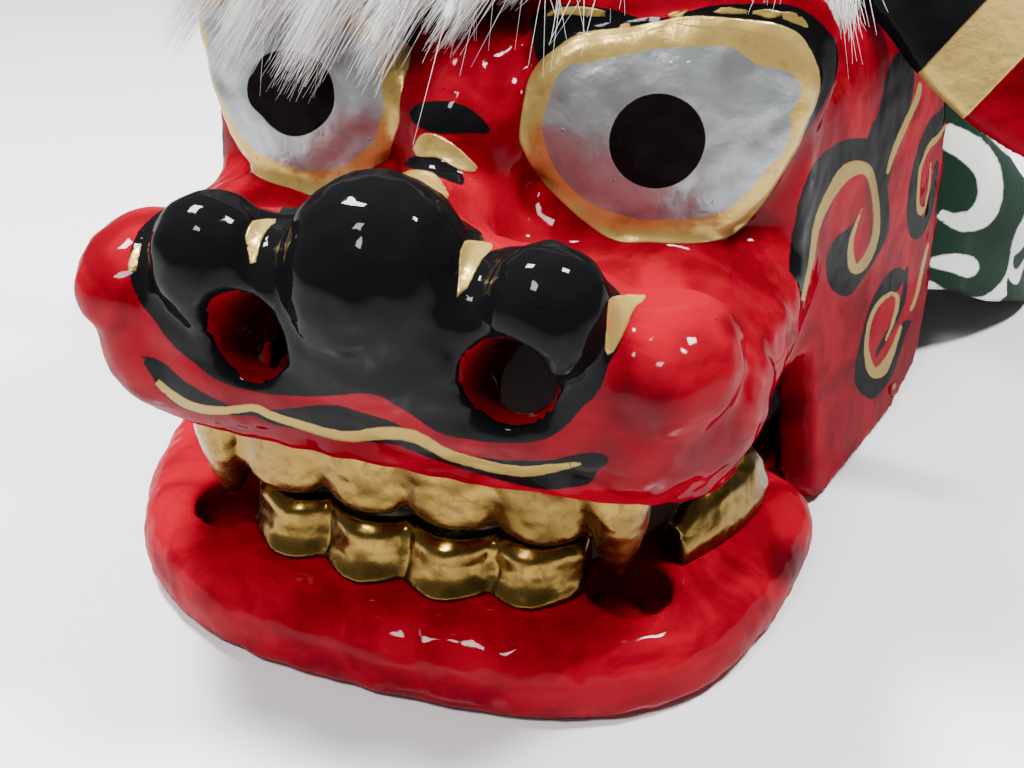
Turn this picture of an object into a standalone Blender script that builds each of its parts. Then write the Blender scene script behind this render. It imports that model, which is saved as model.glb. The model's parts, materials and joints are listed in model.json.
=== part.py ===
"""Lion dance head: a hollow red head, its hinged lower jaw, gilt teeth, two ears, a mane and the
short body cloth that is tacked inside the rear rim. Sizes are in millimetres, made metres on the way out."""
from math import cos, pi, radians, sin, sqrt

import bmesh
import bpy
from mathutils import Matrix, Vector

MM = 0.001

# Driving dimensions. X is the lion's left, Y runs from nose to back, Z is up from the table.
# The drawing has x = 0 on the middle of the nose and y = 0 at the lower front teeth. These two shifts
# put the middle of the whole box, with its unlike ears, over the origin.
FRAME_X = 6.5
FRAME_Y = -152.7
REAR_RIM_Y = 206.0
PAST_RIM = 12.0  # the skull is drawn this far past the rim and then sawn off at it
SHELL_WALL = 12.0
LIP_WALL = 13.0
WALL_FOOT_Z = 1.5
HINGE_Y = 175.0
HINGE_Z = 10.0
PIN_RADIUS = 2.6
PIN_INNER_X = 99.0
PIN_OUTER_X = 130.2
PIN_BORE = 3.0
JAW_BORE = 3.1
JAW_THICKNESS = 25.0
SEAT_GAP = 0.5
TOOTH_PITCH = 25.0
CLOTH_THICKNESS = 2.0
SQUARENESS = 3.1
FINE_VOXEL = 2.0
HEAD_KEEP = 0.0265
CLEARANCE_KEEP = 0.06
# How far the sawing shapes reach past the head on every side.
SAW_SIDE_X = 180.0
SAW_BACK_Y = 260.0
SAW_TOP_Z = 240.0
SAW_FOOT_Z = -40.0

# Plan outlines of the skull at each height: front edge, front corner and rear half width.
SKULL_COLUMNS = ("z", "front", "corner_x", "corner_y", "rear_x")
SKULL = (
    (-12.0, 58.0, 102.0, 72.0, 143.5),
    (57.0, 58.0, 93.0, 72.0, 139.0),
    (103.0, 60.0, 92.0, 74.0, 134.5),
    (140.0, 60.0, 91.0, 76.0, 128.0),
    (157.0, 62.0, 87.0, 80.0, 117.0),
    (170.0, 66.0, 78.0, 88.0, 101.0),
    (181.0, 75.0, 63.0, 98.0, 80.0),
    (188.0, 90.0, 42.0, 112.0, 52.0),
    (191.0, 108.0, 20.0, 124.0, 24.0),
)
# Plan outlines of the muzzle, from under the lip to the floor of the cheeks.
MUZZLE = (
    (50.0, -18.0, 82.0, 26.0, 94.0),
    (75.0, -28.0, 88.5, 24.0, 97.0),
    (86.0, -33.5, 92.5, 22.0, 98.0),
    (97.0, -36.0, 92.0, 24.0, 98.0),
    (105.0, -32.0, 87.0, 30.0, 95.0),
    (111.0, -16.0, 76.0, 40.0, 86.0),
    (114.5, 6.0, 58.0, 52.0, 66.0),
)
MUZZLE_BACK_Y = 110.0
MUZZLE_HOLLOW = {"back": 130.0, "highest": 100.0, "roof": 4.0}
# The head thins towards its crown between these two heights.
CROWN_FADE = (60.0, 100.0)
# Side view of what is sawn away below the head: (y, z) along the lip, down the notch and along the foot.
MOUTH_PROFILE = (
    (-90.0, -30.0), (-90.0, 77.0), (-28.0, 75.5), (-8.0, 69.0), (8.0, 66.5), (84.0, 65.0),
    (92.0, 62.0), (95.0, 54.0), (98.0, 8.0), (104.0, WALL_FOOT_Z), (178.0, WALL_FOOT_Z),
    (198.0, 8.0), (204.0, 17.0), (REAR_RIM_Y + 0.5, 30.0), (REAR_RIM_Y + 0.5, -30.0),
)
# Round forms that swell out of the head. Those with x over 0 are mirrored.
SWELL_COLUMNS = ("x", "y", "z", "radius_x", "radius_y", "radius_z", "tilt")
SWELLS = (
    (0.0, -23.5, 131.0, 20.5, 22.0, 23.5, 0.0),
    (42.0, -25.0, 125.5, 15.5, 16.0, 17.0, 0.0),
    (22.0, -13.0, 113.0, 46.0, 25.0, 20.0, 0.0),
    (70.0, -9.5, 110.0, 17.0, 24.0, 15.5, 0.0),
    (63.0, -6.0, 95.0, 20.5, 27.0, 24.0, 0.0),
    (24.0, 62.0, 112.0, 22.0, 30.0, 20.0, 0.0),
    (0.0, 20.0, 116.0, 19.0, 46.0, 21.0, 0.0),
    (0.0, 62.0, 136.0, 22.0, 40.0, 33.0, 0.0),
)
# A nostril is a cone bored from in front of the nose down into the mouth.
NOSTRIL = {
    "x": 33.0, "z": 106.0, "front_y": -70.0, "back_y": 26.0, "radius": 13.0, "back_radius": 8.2,
    "rise": 14.4, "fall": 20.2, "narrow": 0.97,
}

# The eye: its outline in front view, the tilted plane that the outline lies on, and how far the rim and
# the ball stand out of that plane at each share of the outline.
EYE_OUTLINE = (
    (16.0, 144.0), (17.5, 155.0), (21.0, 163.0), (29.0, 168.5), (42.0, 171.0), (57.0, 174.5),
    (71.0, 175.0), (80.0, 172.5), (86.5, 167.5), (90.0, 158.5), (89.0, 150.0), (86.5, 140.0),
    (81.0, 127.5), (74.0, 118.5), (63.0, 114.5), (52.0, 113.5), (43.0, 115.0), (34.0, 120.0),
    (26.0, 127.5), (19.0, 136.5),
)
EYE_CENTRE = (52.0, 143.5)
EYE_PLANE = {"y": 47.0, "lean_x": 0.28, "lean_z": 0.1}
EYE_LEVEL_COLUMNS = ("share", "proud")
EYE_LEVELS = (
    (1.0, -30.0), (1.0, -4.0), (0.985, -1.2), (0.95, 0.5), (0.90, 0.8), (0.86, 0.0),
    (0.80, 0.6), (0.66, 2.2), (0.46, 3.6), (0.24, 4.4), (0.04, 4.6),
)
# The brow ridge that runs over each eye and down its outer side.
BROW_COLUMNS = ("x", "y", "z", "radius")
BROW = (
    (14.0, 50.0, 163.0, 2.5), (22.0, 53.0, 171.0, 4.5), (38.0, 57.0, 176.0, 6.0), (56.0, 61.0, 180.0, 7.0),
    (72.0, 66.0, 180.5, 7.0), (84.0, 70.0, 174.5, 6.0), (90.0, 72.0, 165.0, 4.5), (91.0, 73.0, 153.0, 3.5),
    (88.5, 72.0, 142.0, 2.5),
)

# Half outline of the jaw slab from the middle of the lip round to the step in front of the side wall.
JAW_OUTER = (
    (0.0, -33.5), (28.0, -32.0), (53.0, -27.0), (73.0, -17.0), (87.0, -4.0), (96.0, 12.0),
    (102.0, 29.0), (106.0, 45.0), (108.5, 60.0), (108.5, 72.0), (104.0, 82.0), (96.0, 88.0),
)
JAW_MOUTH = ((0.0, 16.0), (45.0, 17.0), (58.0, 29.0), (65.0, 46.0), (73.0, 70.0), (79.0, 96.0))
JAW_ARM_OUTER = ((80.0, 78.0), (90.0, 84.0), (91.0, 96.0), (114.0, 172.0), (113.5, 184.0))
JAW_ARM_INNER = ((103.0, 185.0), (100.0, 172.0), (79.0, 96.0), (74.0, 78.0))
JAW_ARM_TOP = 19.0
SOCKET = {"x": 61.5, "y": 9.0, "radius": 12.5, "floor": 10.0}
# Height on the slab and how far its outline is drawn in there.
JAW_EDGE = (
    (0.0, 5.0), (1.6, 2.4), (5.0, 0.4), (12.0, 0.0), (17.0, 0.9), (21.0, 3.4), (24.0, 7.6), (25.0, 12.0),
)

# The two front rows: where their front faces and feet stand, and how far each tooth swells from them.
UPPER_ROW = {
    "front": -7.5, "swell": 2.0, "bow": 3.0, "foot": 49.5, "foot_swell": 4.5, "waist": 62.0,
    "gum": 71.5, "top": 73.0, "rear": 2.0, "rear_top": 66.0, "steps": 16,
}
LOWER_ROW = {"front": -9.0, "swell": 5.0, "bow": 9.0, "steps": 20}
# Side view of a lower tooth: y from its front face, and z from its foot.
LOWER_FACE = ((0.0, 0.0), (-0.8, 1.5), (1.0, 7.0), (2.5, 11.5), (6.0, 14.5), (10.0, 14.0))
LOWER_REAR = ((10.0, 9.0), (12.0, 0.0))
FANG_COLUMNS = ("z", "x", "y", "radius")
FANG = (
    (67.7, 56.8, 0.5, 9.6), (60.0, 57.0, 0.8, 10.0), (52.0, 57.6, 1.3, 8.6), (45.0, 58.1, 1.8, 6.6),
    (39.0, 58.5, 2.2, 4.8), (35.0, 58.6, 2.4, 3.4), (33.2, 58.6, 2.4, 1.4),
)
FANG_SIDES = 14
SIDE_TOOTH_COLUMNS = ("outer_x", "outer_y", "inner_x", "inner_y", "height")
LOWER_SIDE = (
    (75.0, 22.0, 66.5, 27.0, 12.0),
    (79.0, 28.0, 67.0, 33.0, 16.5),
    (83.5, 35.0, 68.5, 40.0, 16.0),
    (87.0, 42.0, 71.0, 47.0, 18.0),
    (90.5, 50.0, 73.5, 54.0, 17.0),
    (92.5, 58.0, 76.0, 61.0, 18.0),
    (93.5, 67.0, 78.5, 68.0, 16.0),
    (92.0, 75.0, 81.0, 74.0, 10.0),
)
# Section of a lower cheek tooth: share of the way in, and share of its height.
LOWER_SIDE_SECTION = (
    (0.0, 0.0), (0.02, 0.3), (0.22, 0.8), (0.45, 1.0), (0.75, 0.9), (1.0, 0.4), (1.0, 0.0),
)
UPPER_SIDE = {
    "front_y": 24.0, "step": 6.5, "count": 9, "x": 73.0, "flare": 0.28, "foot": 54.0, "swell": 6.0,
    "shelf": 63.6, "root_x": 72.8, "root_flare": 0.08, "root_depth": 6.0, "top": 76.0,
}

# The ear along its axis from the hidden root to the tip; sag lowers the root on to the crown.
EAR_COLUMNS = ("along", "half_width", "thickness", "sag")
EAR = (
    (-34.0, 11.0, 11.0, -15.0),
    (-20.0, 14.0, 11.0, -8.0),
    (-6.0, 17.0, 11.0, -2.5),
    (8.0, 20.5, 11.0, 0.0),
    (25.0, 24.0, 10.0, 0.0),
    (42.0, 25.5, 9.0, 0.0),
    (60.0, 24.5, 8.0, 0.0),
    (78.0, 19.5, 7.0, 0.0),
    (93.0, 11.0, 6.0, 0.0),
    (102.0, 3.5, 5.0, 0.0),
)
EAR_BASE = (106.4, 128.0, 178.0)
EAR_DROOP = {"ear_left": 33.0, "ear_right": 12.0}
EAR_HOLLOW = 5.0
EAR_SEAT_GAP = 0.3
EAR_GAP = 0.8
# Points round a section: share of the half width, and 0 on the front face or 1 on the back.
EAR_SECTION = (
    (-1.0, 0), (-0.6, 0), (0.0, 0), (0.6, 0), (1.0, 0), (1.0, 1), (0.6, 1), (0.0, 1), (-0.6, 1), (-1.0, 1),
)

# Locks of the mane that hang over the brow: root on the crown, tip in space and radius at the root.
LOCK_COLUMNS = ("root_x", "root_y", "tip_x", "tip_y", "tip_z", "radius")
FRONT_LOCKS = (
    (-82.0, 108.0, -96.0, 74.0, 164.0, 9.0),
    (-67.0, 102.0, -80.0, 48.0, 168.0, 10.5),
    (-51.0, 99.0, -60.0, 39.0, 161.0, 11.0),
    (-34.0, 98.0, -42.0, 34.0, 157.0, 11.0),
    (-17.0, 97.0, -23.0, 32.0, 161.0, 10.5),
    (0.0, 97.0, -4.0, 34.0, 168.0, 10.5),
    (17.0, 98.0, 15.0, 39.0, 175.0, 10.5),
    (34.0, 100.0, 34.0, 46.0, 181.0, 10.5),
    (51.0, 102.0, 54.0, 53.0, 186.0, 10.5),
    (68.0, 106.0, 76.0, 61.0, 184.0, 10.0),
    (82.0, 112.0, 96.0, 82.0, 170.0, 8.5),
)
# Shorter locks lie forwards over the crown in rows, each row shifted sideways from the last.
CROWN_LOCKS = {
    "rows": (119.0, 139.0, 159.0, 178.0), "reach": 42.0, "step": 16.5, "half_width": 80.0, "radius": 9.0,
    "shift": 6.0, "spread": 1.1, "lift": 4.0,
}
CROWN_ARCH = 6.0
BROW_ARCH = 15.0
LOCK_STEPS = 6
LOCK_TIP_SHARE = 0.26
MANE_VOXEL = 2.4
MANE_KEEP = 0.034
FUR_GAP = 1.5

# Behind the rim the cloth spreads and comes down on the table: distance back, half width, height of its
# hem and of its top line, and how square its arch is.
CLOTH_COLUMNS = ("y", "half_width", "foot", "top", "squareness")
CLOTH_ARCHES = (
    (226.0, 145.0, 32.0, 168.0, 4.0),
    (244.0, 160.0, 21.0, 150.0, 3.4),
    (262.0, 173.0, 14.0, 126.0, 3.0),
    (280.0, 182.0, 7.0, 98.0, 2.8),
    (298.0, 187.0, 1.8, 70.0, 2.6),
    (316.0, 186.0, 1.8, 42.0, 2.4),
    (334.0, 178.0, 1.8, 20.0, 2.2),
    (350.0, 164.0, 1.8, 7.5, 2.0),
)
CLOTH_START_Y = 191.0
CLOTH_GAP = 1.0
CLOTH_LOWEST_Z = 1.8
CLOTH_POINTS = 38
RIM_LEVELS = (36.0, 70.0, 103.0, 125.0, 140.0, 150.0, 157.0, 164.0, 170.0, 176.0, 181.0, 185.0, 188.0)
ARCH_STEPS = 80
FOLDS = 8.5
FOLD_DEPTH = 5.5
FOLD_START = 90.0  # the folds reach their depth this far behind the rim
FOLD_TURN = 0.012  # how far the folds wander sideways for each millimetre back

COLOURS = {
    "red_lacquer": ((0.55, 0.010, 0.012), 0.15, 0.0),
    "gold_leaf": ((0.72, 0.50, 0.18), 0.3, 1.0),
    "black_lacquer": ((0.012, 0.012, 0.013), 0.15, 0.0),
    "white_fur": ((0.80, 0.80, 0.78), 0.7, 0.0),
    "green_cotton": ((0.016, 0.062, 0.026), 0.85, 0.0),
    "bamboo": ((0.45, 0.33, 0.18), 0.6, 0.0),
}


def clear_scene():
    """Remove every object that the file opened with."""
    for obj in list(bpy.data.objects):
        bpy.data.objects.remove(obj, do_unlink=True)


def new_collection(name, hidden=False):
    """Link a collection to the scene; a hidden one holds cutters."""
    group = bpy.data.collections.new(name)
    bpy.context.scene.collection.children.link(group)
    group.hide_render = hidden
    return group


def finish_named(name):
    """Return the plain material of this name."""
    known = bpy.data.materials.get(name)
    if known:
        return known
    colour, roughness, metallic = COLOURS[name]
    made = bpy.data.materials.new(name)
    made.use_nodes = True
    shader = made.node_tree.nodes["Principled BSDF"]
    shader.inputs["Base Color"].default_value = (*colour, 1.0)
    shader.inputs["Roughness"].default_value = roughness
    shader.inputs["Metallic"].default_value = metallic
    return made


def place(x, y, z):
    """Turn drawing millimetres into a point in metres."""
    return Vector(((x + FRAME_X) * MM, (y + FRAME_Y) * MM, z * MM))


def rows(columns, table):
    """Read a table with named columns."""
    return [dict(zip(columns, row)) for row in table]


def add_loft(mesh, rings):
    """Skin closed rings of equal count and cap both ends."""
    layers = [[mesh.verts.new(place(*point)) for point in ring] for ring in rings]
    for lower, upper in zip(layers, layers[1:]):
        count = len(lower)
        for i in range(count):
            j = (i + 1) % count
            mesh.faces.new((lower[i], lower[j], upper[j], upper[i]))
    mesh.faces.new(tuple(reversed(layers[0])))
    mesh.faces.new(tuple(layers[-1]))


def add_prism(mesh, outline, low, high, axis="Z"):
    """Extrude an outline, given in the two other axes, from low to high."""
    def point(a, b, level):
        return (level, a, b) if axis == "X" else (a, b, level)
    add_loft(mesh, [[point(a, b, level) for a, b in outline] for level in (low, high)])


def add_ellipsoid(mesh, centre, radii, tilt=0.0, segments=32):
    """Add a ball stretched to three radii and turned about Y by tilt degrees."""
    matrix = (
        Matrix.Translation(place(*centre))
        @ Matrix.Rotation(radians(tilt), 4, "Y")
        @ Matrix.Diagonal((*(r * MM for r in radii), 1.0))
    )
    bmesh.ops.create_uvsphere(mesh, u_segments=segments, v_segments=segments // 2, radius=1.0, matrix=matrix)


def add_rod(mesh, start, end, radius, end_radius=None, sides=24):
    """Add a round bar or a cone between two points."""
    first, last = place(*start), place(*end)
    along = last - first
    matrix = Matrix.Translation((first + last) / 2) @ along.to_track_quat("Z", "Y").to_matrix().to_4x4()
    bmesh.ops.create_cone(
        mesh, cap_ends=True, segments=sides, radius1=radius * MM,
        radius2=(radius if end_radius is None else end_radius) * MM, depth=along.length, matrix=matrix,
    )


def as_object(name, mesh, group, material=None, pivot=None):
    """Make a bmesh an object in a collection, with its origin on the pivot if it has one."""
    bmesh.ops.recalc_face_normals(mesh, faces=mesh.faces[:])
    data = bpy.data.meshes.new(name)
    if pivot is not None:
        bmesh.ops.translate(mesh, verts=mesh.verts[:], vec=-pivot.location)
    mesh.to_mesh(data)
    mesh.free()
    obj = bpy.data.objects.new(name, data)
    group.objects.link(obj)
    if pivot is not None:
        obj.parent = pivot
    if material:
        data.materials.append(finish_named(material))
        data.shade_smooth()
        data.set_sharp_from_angle(angle=radians(40))
    else:
        obj.hide_render = True
        obj.display_type = "WIRE"
    return obj


def remesh(obj, voxel, name="Skin"):
    """Fuse overlapping closed shapes into one skin."""
    made = obj.modifiers.new(name, "REMESH")
    made.mode = "VOXEL"
    made.voxel_size = voxel * MM
    made.use_smooth_shade = True


def soften(obj, times, name="Soften"):
    """Round a skin as filler and lacquer do."""
    made = obj.modifiers.new(name, "SMOOTH")
    made.factor = 0.5
    made.iterations = times


def cut(obj, cutter, operation="DIFFERENCE"):
    """Cut a solid, or join one to it."""
    made = obj.modifiers.new(cutter.name, "BOOLEAN")
    made.operation = operation
    made.solver = "EXACT"
    made.object = cutter


def thin_out(obj, keep):
    """Keep this share of the faces."""
    made = obj.modifiers.new("Fewer faces", "DECIMATE")
    made.ratio = keep


def crown_share(z):
    """How far up into the crown a height is, from 0 to 1."""
    low, high = CROWN_FADE
    return max(0.0, min(1.0, (z - low) / (high - low)))


def plan_ring(row, rear, inset=0.0, squareness=SQUARENESS, arc_points=9):
    """Outline of the head in plan at one height: a squared round front and straight, flaring sides."""
    front = row["front"] + inset
    corner_x = row["corner_x"] - inset
    corner_y = row["corner_y"]
    depth = corner_y - front
    half = []
    for i in range(arc_points):
        angle = pi / 2 * i / (arc_points - 1)
        x = corner_x * sin(angle) ** (2 / squareness)
        y = corner_y - depth * cos(angle) ** (2 / squareness)
        half.append((x, y))
    half.append((row["rear_x"] - inset, rear))
    left = [(-x, y) for x, y in reversed(half[1:])]
    return [(x, y, row["z"]) for x, y in left + half]


def add_plan_loft(mesh, table, rear, inset=0.0, top=0.0, bottom=None):
    """Loft a table of plan outlines; inset and top draw the form in, and bottom carries it straight down."""
    outlines = rows(SKULL_COLUMNS, table)
    if bottom is not None:
        outlines.insert(0, {**outlines[0], "z": bottom})
    rings = []
    for row in outlines:
        row["z"] -= top * crown_share(row["z"])
        rings.append(plan_ring(row, rear, inset))
    add_loft(mesh, rings)


def mirrored(outline):
    """Close a half outline, drawn from the middle outwards, with its mirror image."""
    left = [(-x, y) for x, y in reversed(outline) if x > 0.0]
    return left + list(outline)


def eye_plane_y(x, z):
    """Where the plane of an eye's outline stands at this x, taken without its sign, and z."""
    centre_x, centre_z = EYE_CENTRE
    return EYE_PLANE["y"] + EYE_PLANE["lean_x"] * (abs(x) - centre_x) + EYE_PLANE["lean_z"] * (z - centre_z)


def add_eye(mesh, side, grow=0.0):
    """Add one eye: a raised rim round a low ball."""
    centre_x, centre_z = EYE_CENTRE
    rings = []
    for row in rows(EYE_LEVEL_COLUMNS, EYE_LEVELS):
        ring = []
        for x, z in EYE_OUTLINE:
            wider = row["share"] * (1.0 + grow / 35.0)
            across = centre_x + (x - centre_x) * wider
            up = centre_z + (z - centre_z) * wider
            ring.append((side * across, eye_plane_y(across, up) - row["proud"] - grow, up))
        rings.append(ring)
    add_loft(mesh, rings)


def add_brow(mesh, side, grow=0.0):
    """Add one brow as a row of balls joined by cones."""
    points = rows(BROW_COLUMNS, BROW)
    for row in points:
        centre = (side * row["x"], row["y"], row["z"])
        add_ellipsoid(mesh, centre, (row["radius"] + grow,) * 3, segments=16)
    for near, far in zip(points, points[1:]):
        start = (side * near["x"], near["y"], near["z"])
        end = (side * far["x"], far["y"], far["z"])
        add_rod(mesh, start, end, near["radius"] + grow, far["radius"] + grow, sides=16)


def add_head_form(mesh, grow=0.0):
    """Add the outside of the head as overlapping closed forms, each grown by this much."""
    add_plan_loft(mesh, SKULL, REAR_RIM_Y + PAST_RIM + grow, inset=-grow, top=-grow)
    add_plan_loft(mesh, MUZZLE, MUZZLE_BACK_Y, inset=-grow, top=-grow)
    for row in rows(SWELL_COLUMNS, SWELLS):
        sides = (1, -1) if row["x"] > 0.0 else (1,)
        for side in sides:
            centre = (side * row["x"], row["y"], row["z"])
            radii = tuple(row[name] + grow for name in ("radius_x", "radius_y", "radius_z"))
            add_ellipsoid(mesh, centre, radii, -side * row["tilt"])
    for side in (1, -1):
        add_eye(mesh, side, grow)
        add_brow(mesh, side, grow)


def build_clearance(name, grow, cutters, pivot):
    """A slightly larger head, cut from what sits on the head so that a thin gap is left."""
    mesh = bmesh.new()
    add_head_form(mesh, grow)
    clearance = as_object(name, mesh, cutters, pivot=pivot)
    remesh(clearance, FINE_VOXEL)
    soften(clearance, 3)
    thin_out(clearance, CLEARANCE_KEEP)
    return clearance


def build_shell(parts, cutters, pivot):
    """The head: one wall all round, open behind and below, with the nose, lobes and eyes swelling from it."""
    mesh = bmesh.new()
    add_head_form(mesh)
    shell = as_object("head_shell", mesh, parts, "red_lacquer", pivot)
    remesh(shell, FINE_VOXEL)
    soften(shell, 4)

    hollow = bmesh.new()
    add_plan_loft(
        hollow, SKULL, REAR_RIM_Y + PAST_RIM, inset=SHELL_WALL, top=SHELL_WALL - 1.0, bottom=SAW_FOOT_Z,
    )
    skull_hollow = as_object("skull_hollow", hollow, cutters, pivot=pivot)
    hollow = bmesh.new()
    lower_muzzle = [row for row in MUZZLE if row[0] < MUZZLE_HOLLOW["highest"]]
    back, roof = MUZZLE_HOLLOW["back"], MUZZLE_HOLLOW["roof"]
    add_plan_loft(hollow, lower_muzzle, back, inset=LIP_WALL, top=roof, bottom=SAW_FOOT_Z)
    muzzle_hollow = as_object("muzzle_hollow", hollow, cutters, pivot=pivot)

    mouth = bmesh.new()
    add_prism(mouth, MOUTH_PROFILE, -SAW_SIDE_X, SAW_SIDE_X, axis="X")
    mouth_cut = as_object("mouth_cut", mouth, cutters, pivot=pivot)

    rear = bmesh.new()
    behind = (
        (REAR_RIM_Y, SAW_FOOT_Z), (REAR_RIM_Y, SAW_TOP_Z), (SAW_BACK_Y, SAW_TOP_Z), (SAW_BACK_Y, SAW_FOOT_Z),
    )
    add_prism(rear, behind, -SAW_SIDE_X, SAW_SIDE_X, axis="X")
    rear_cut = as_object("rear_cut", rear, cutters, pivot=pivot)

    holes = bmesh.new()
    for side in (-1, 1):
        x, z = side * NOSTRIL["x"], NOSTRIL["z"]
        start = (x, NOSTRIL["front_y"], z + NOSTRIL["rise"])
        end = (x * NOSTRIL["narrow"], NOSTRIL["back_y"], z - NOSTRIL["fall"])
        add_rod(holes, start, end, NOSTRIL["radius"], NOSTRIL["back_radius"], sides=32)
    nostril_cut = as_object("nostril_cut", holes, cutters, pivot=pivot)

    for cutter in (skull_hollow, muzzle_hollow, mouth_cut, rear_cut, nostril_cut):
        cut(shell, cutter)
    remesh(shell, FINE_VOXEL, "Second skin")
    soften(shell, 2, "Second soften")
    thin_out(shell, HEAD_KEEP)

    bores = bmesh.new()
    for side in (-1, 1):
        start = (side * 0.5 * SAW_SIDE_X, HINGE_Y, HINGE_Z)
        end = (side * SAW_SIDE_X, HINGE_Y, HINGE_Z)
        add_rod(bores, start, end, PIN_BORE, sides=16)
    cut(shell, as_object("pin_bores", bores, cutters, pivot=pivot))
    return shell


def inset_outline(outline, distance):
    """Draw a half outline in, square to its own run, and never past the middle."""
    made = []
    last = len(outline) - 1
    for i, (x, y) in enumerate(outline):
        ax, ay = outline[max(i - 1, 0)]
        bx, by = outline[min(i + 1, last)]
        if i == 0:
            ax, ay = -bx, by
        run = sqrt((bx - ax) ** 2 + (by - ay) ** 2)
        made.append((max(x - distance * (by - ay) / run, 0.0), y + distance * (bx - ax) / run))
    return made


def build_jaw(parts, cutters):
    """The lower jaw: a thick U with rounded edges, arms that run back inside the walls, and fang sockets."""
    mesh = bmesh.new()
    rings = []
    for z, draw_in in JAW_EDGE:
        rings.append([(x, y, z) for x, y in mirrored(inset_outline(JAW_OUTER, draw_in))])
    add_loft(mesh, rings)
    jaw = as_object("jaw", mesh, parts, "red_lacquer")

    arms = bmesh.new()
    for side in (-1, 1):
        outline = [(side * x, y) for x, y in JAW_ARM_OUTER + JAW_ARM_INNER]
        add_prism(arms, outline, 0.6, JAW_ARM_TOP)
    cut(jaw, as_object("jaw_arms", arms, cutters), "UNION")

    above = 2.0 * JAW_THICKNESS
    mouth = bmesh.new()
    add_prism(mouth, mirrored(JAW_MOUTH), -above, above)
    cut(jaw, as_object("jaw_mouth", mouth, cutters))

    holes = bmesh.new()
    for side in (-1, 1):
        x, y = side * SOCKET["x"], SOCKET["y"]
        add_rod(holes, (x, y, SOCKET["floor"]), (x, y, above), SOCKET["radius"])
        start = (side * 0.5 * SAW_SIDE_X, HINGE_Y, HINGE_Z)
        end = (side * SAW_SIDE_X, HINGE_Y, HINGE_Z)
        add_rod(holes, start, end, JAW_BORE, sides=16)
    cut(jaw, as_object("jaw_holes", holes, cutters))
    return jaw


def build_pins(parts, pivot):
    """A short bamboo peg on each side, through the wall and the jaw's arm."""
    for name, side in (("hinge_pin_left", 1), ("hinge_pin_right", -1)):
        mesh = bmesh.new()
        start = (side * PIN_INNER_X, HINGE_Y, HINGE_Z)
        end = (side * PIN_OUTER_X, HINGE_Y, HINGE_Z)
        add_rod(mesh, start, end, PIN_RADIUS, sides=16)
        as_object(name, mesh, parts, "bamboo", pivot)


def tooth_swell(x):
    """How far a tooth swells at x, from 0 between two teeth to 1 at the middle of one."""
    return abs(sin(pi * x / TOOTH_PITCH)) ** 0.65


def build_upper_front(parts, cutters, pivot):
    """The upper front row: four square teeth between two fangs, on one gum strip behind the lip."""
    mesh = bmesh.new()
    rings = []
    row = UPPER_ROW
    half = 2.0 * TOOTH_PITCH
    for i in range(-row["steps"], row["steps"] + 1):
        x = half * i / row["steps"]
        swell = tooth_swell(x)
        bow = row["bow"] * (x / half) ** 2
        front = row["front"] - row["swell"] * swell + bow
        rear = row["rear"] + bow
        foot = row["foot"] - row["foot_swell"] * swell
        ring = (
            (front + 3.0, foot), (front + 0.4, foot + 2.2), (front, foot + 6.0), (front - 1.0, row["waist"]),
            (front - 1.8 - bow, row["gum"]), (front + 4.0, row["top"]), (rear, row["rear_top"]),
            (rear, foot + 4.0), (front + 6.0, foot),
        )
        rings.append([(x, y, z) for y, z in ring])
    add_loft(mesh, rings)
    teeth = as_object("upper_front_teeth", mesh, parts, "gold_leaf", pivot)
    fangs = bmesh.new()
    for side in (-1, 1):
        rings = []
        for row in rows(FANG_COLUMNS, FANG):
            ring = []
            for i in range(FANG_SIDES):
                angle = 2 * pi * i / FANG_SIDES
                x = side * row["x"] + row["radius"] * cos(angle)
                ring.append((x, row["y"] + row["radius"] * sin(angle), row["z"]))
            rings.append(ring)
        add_loft(fangs, rings)
    fang_pair = as_object("fangs", fangs, cutters, pivot=pivot)
    cut(teeth, fang_pair, "UNION")


def build_lower_front(parts):
    """The lower front row: four teeth swelling forwards, on the jaw."""
    mesh = bmesh.new()
    rings = []
    row = LOWER_ROW
    half = 2.0 * TOOTH_PITCH
    base = JAW_THICKNESS + SEAT_GAP
    for i in range(-row["steps"], row["steps"] + 1):
        x = half * i / row["steps"]
        front = row["front"] - row["swell"] * tooth_swell(x) + row["bow"] * (x / half) ** 2
        face = [(x, front + y, base + z) for y, z in LOWER_FACE]
        rear = [(x, y, base + z) for y, z in LOWER_REAR]
        rings.append(face + rear)
    add_loft(mesh, rings)
    as_object("lower_front_teeth", mesh, parts, "gold_leaf")


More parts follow.
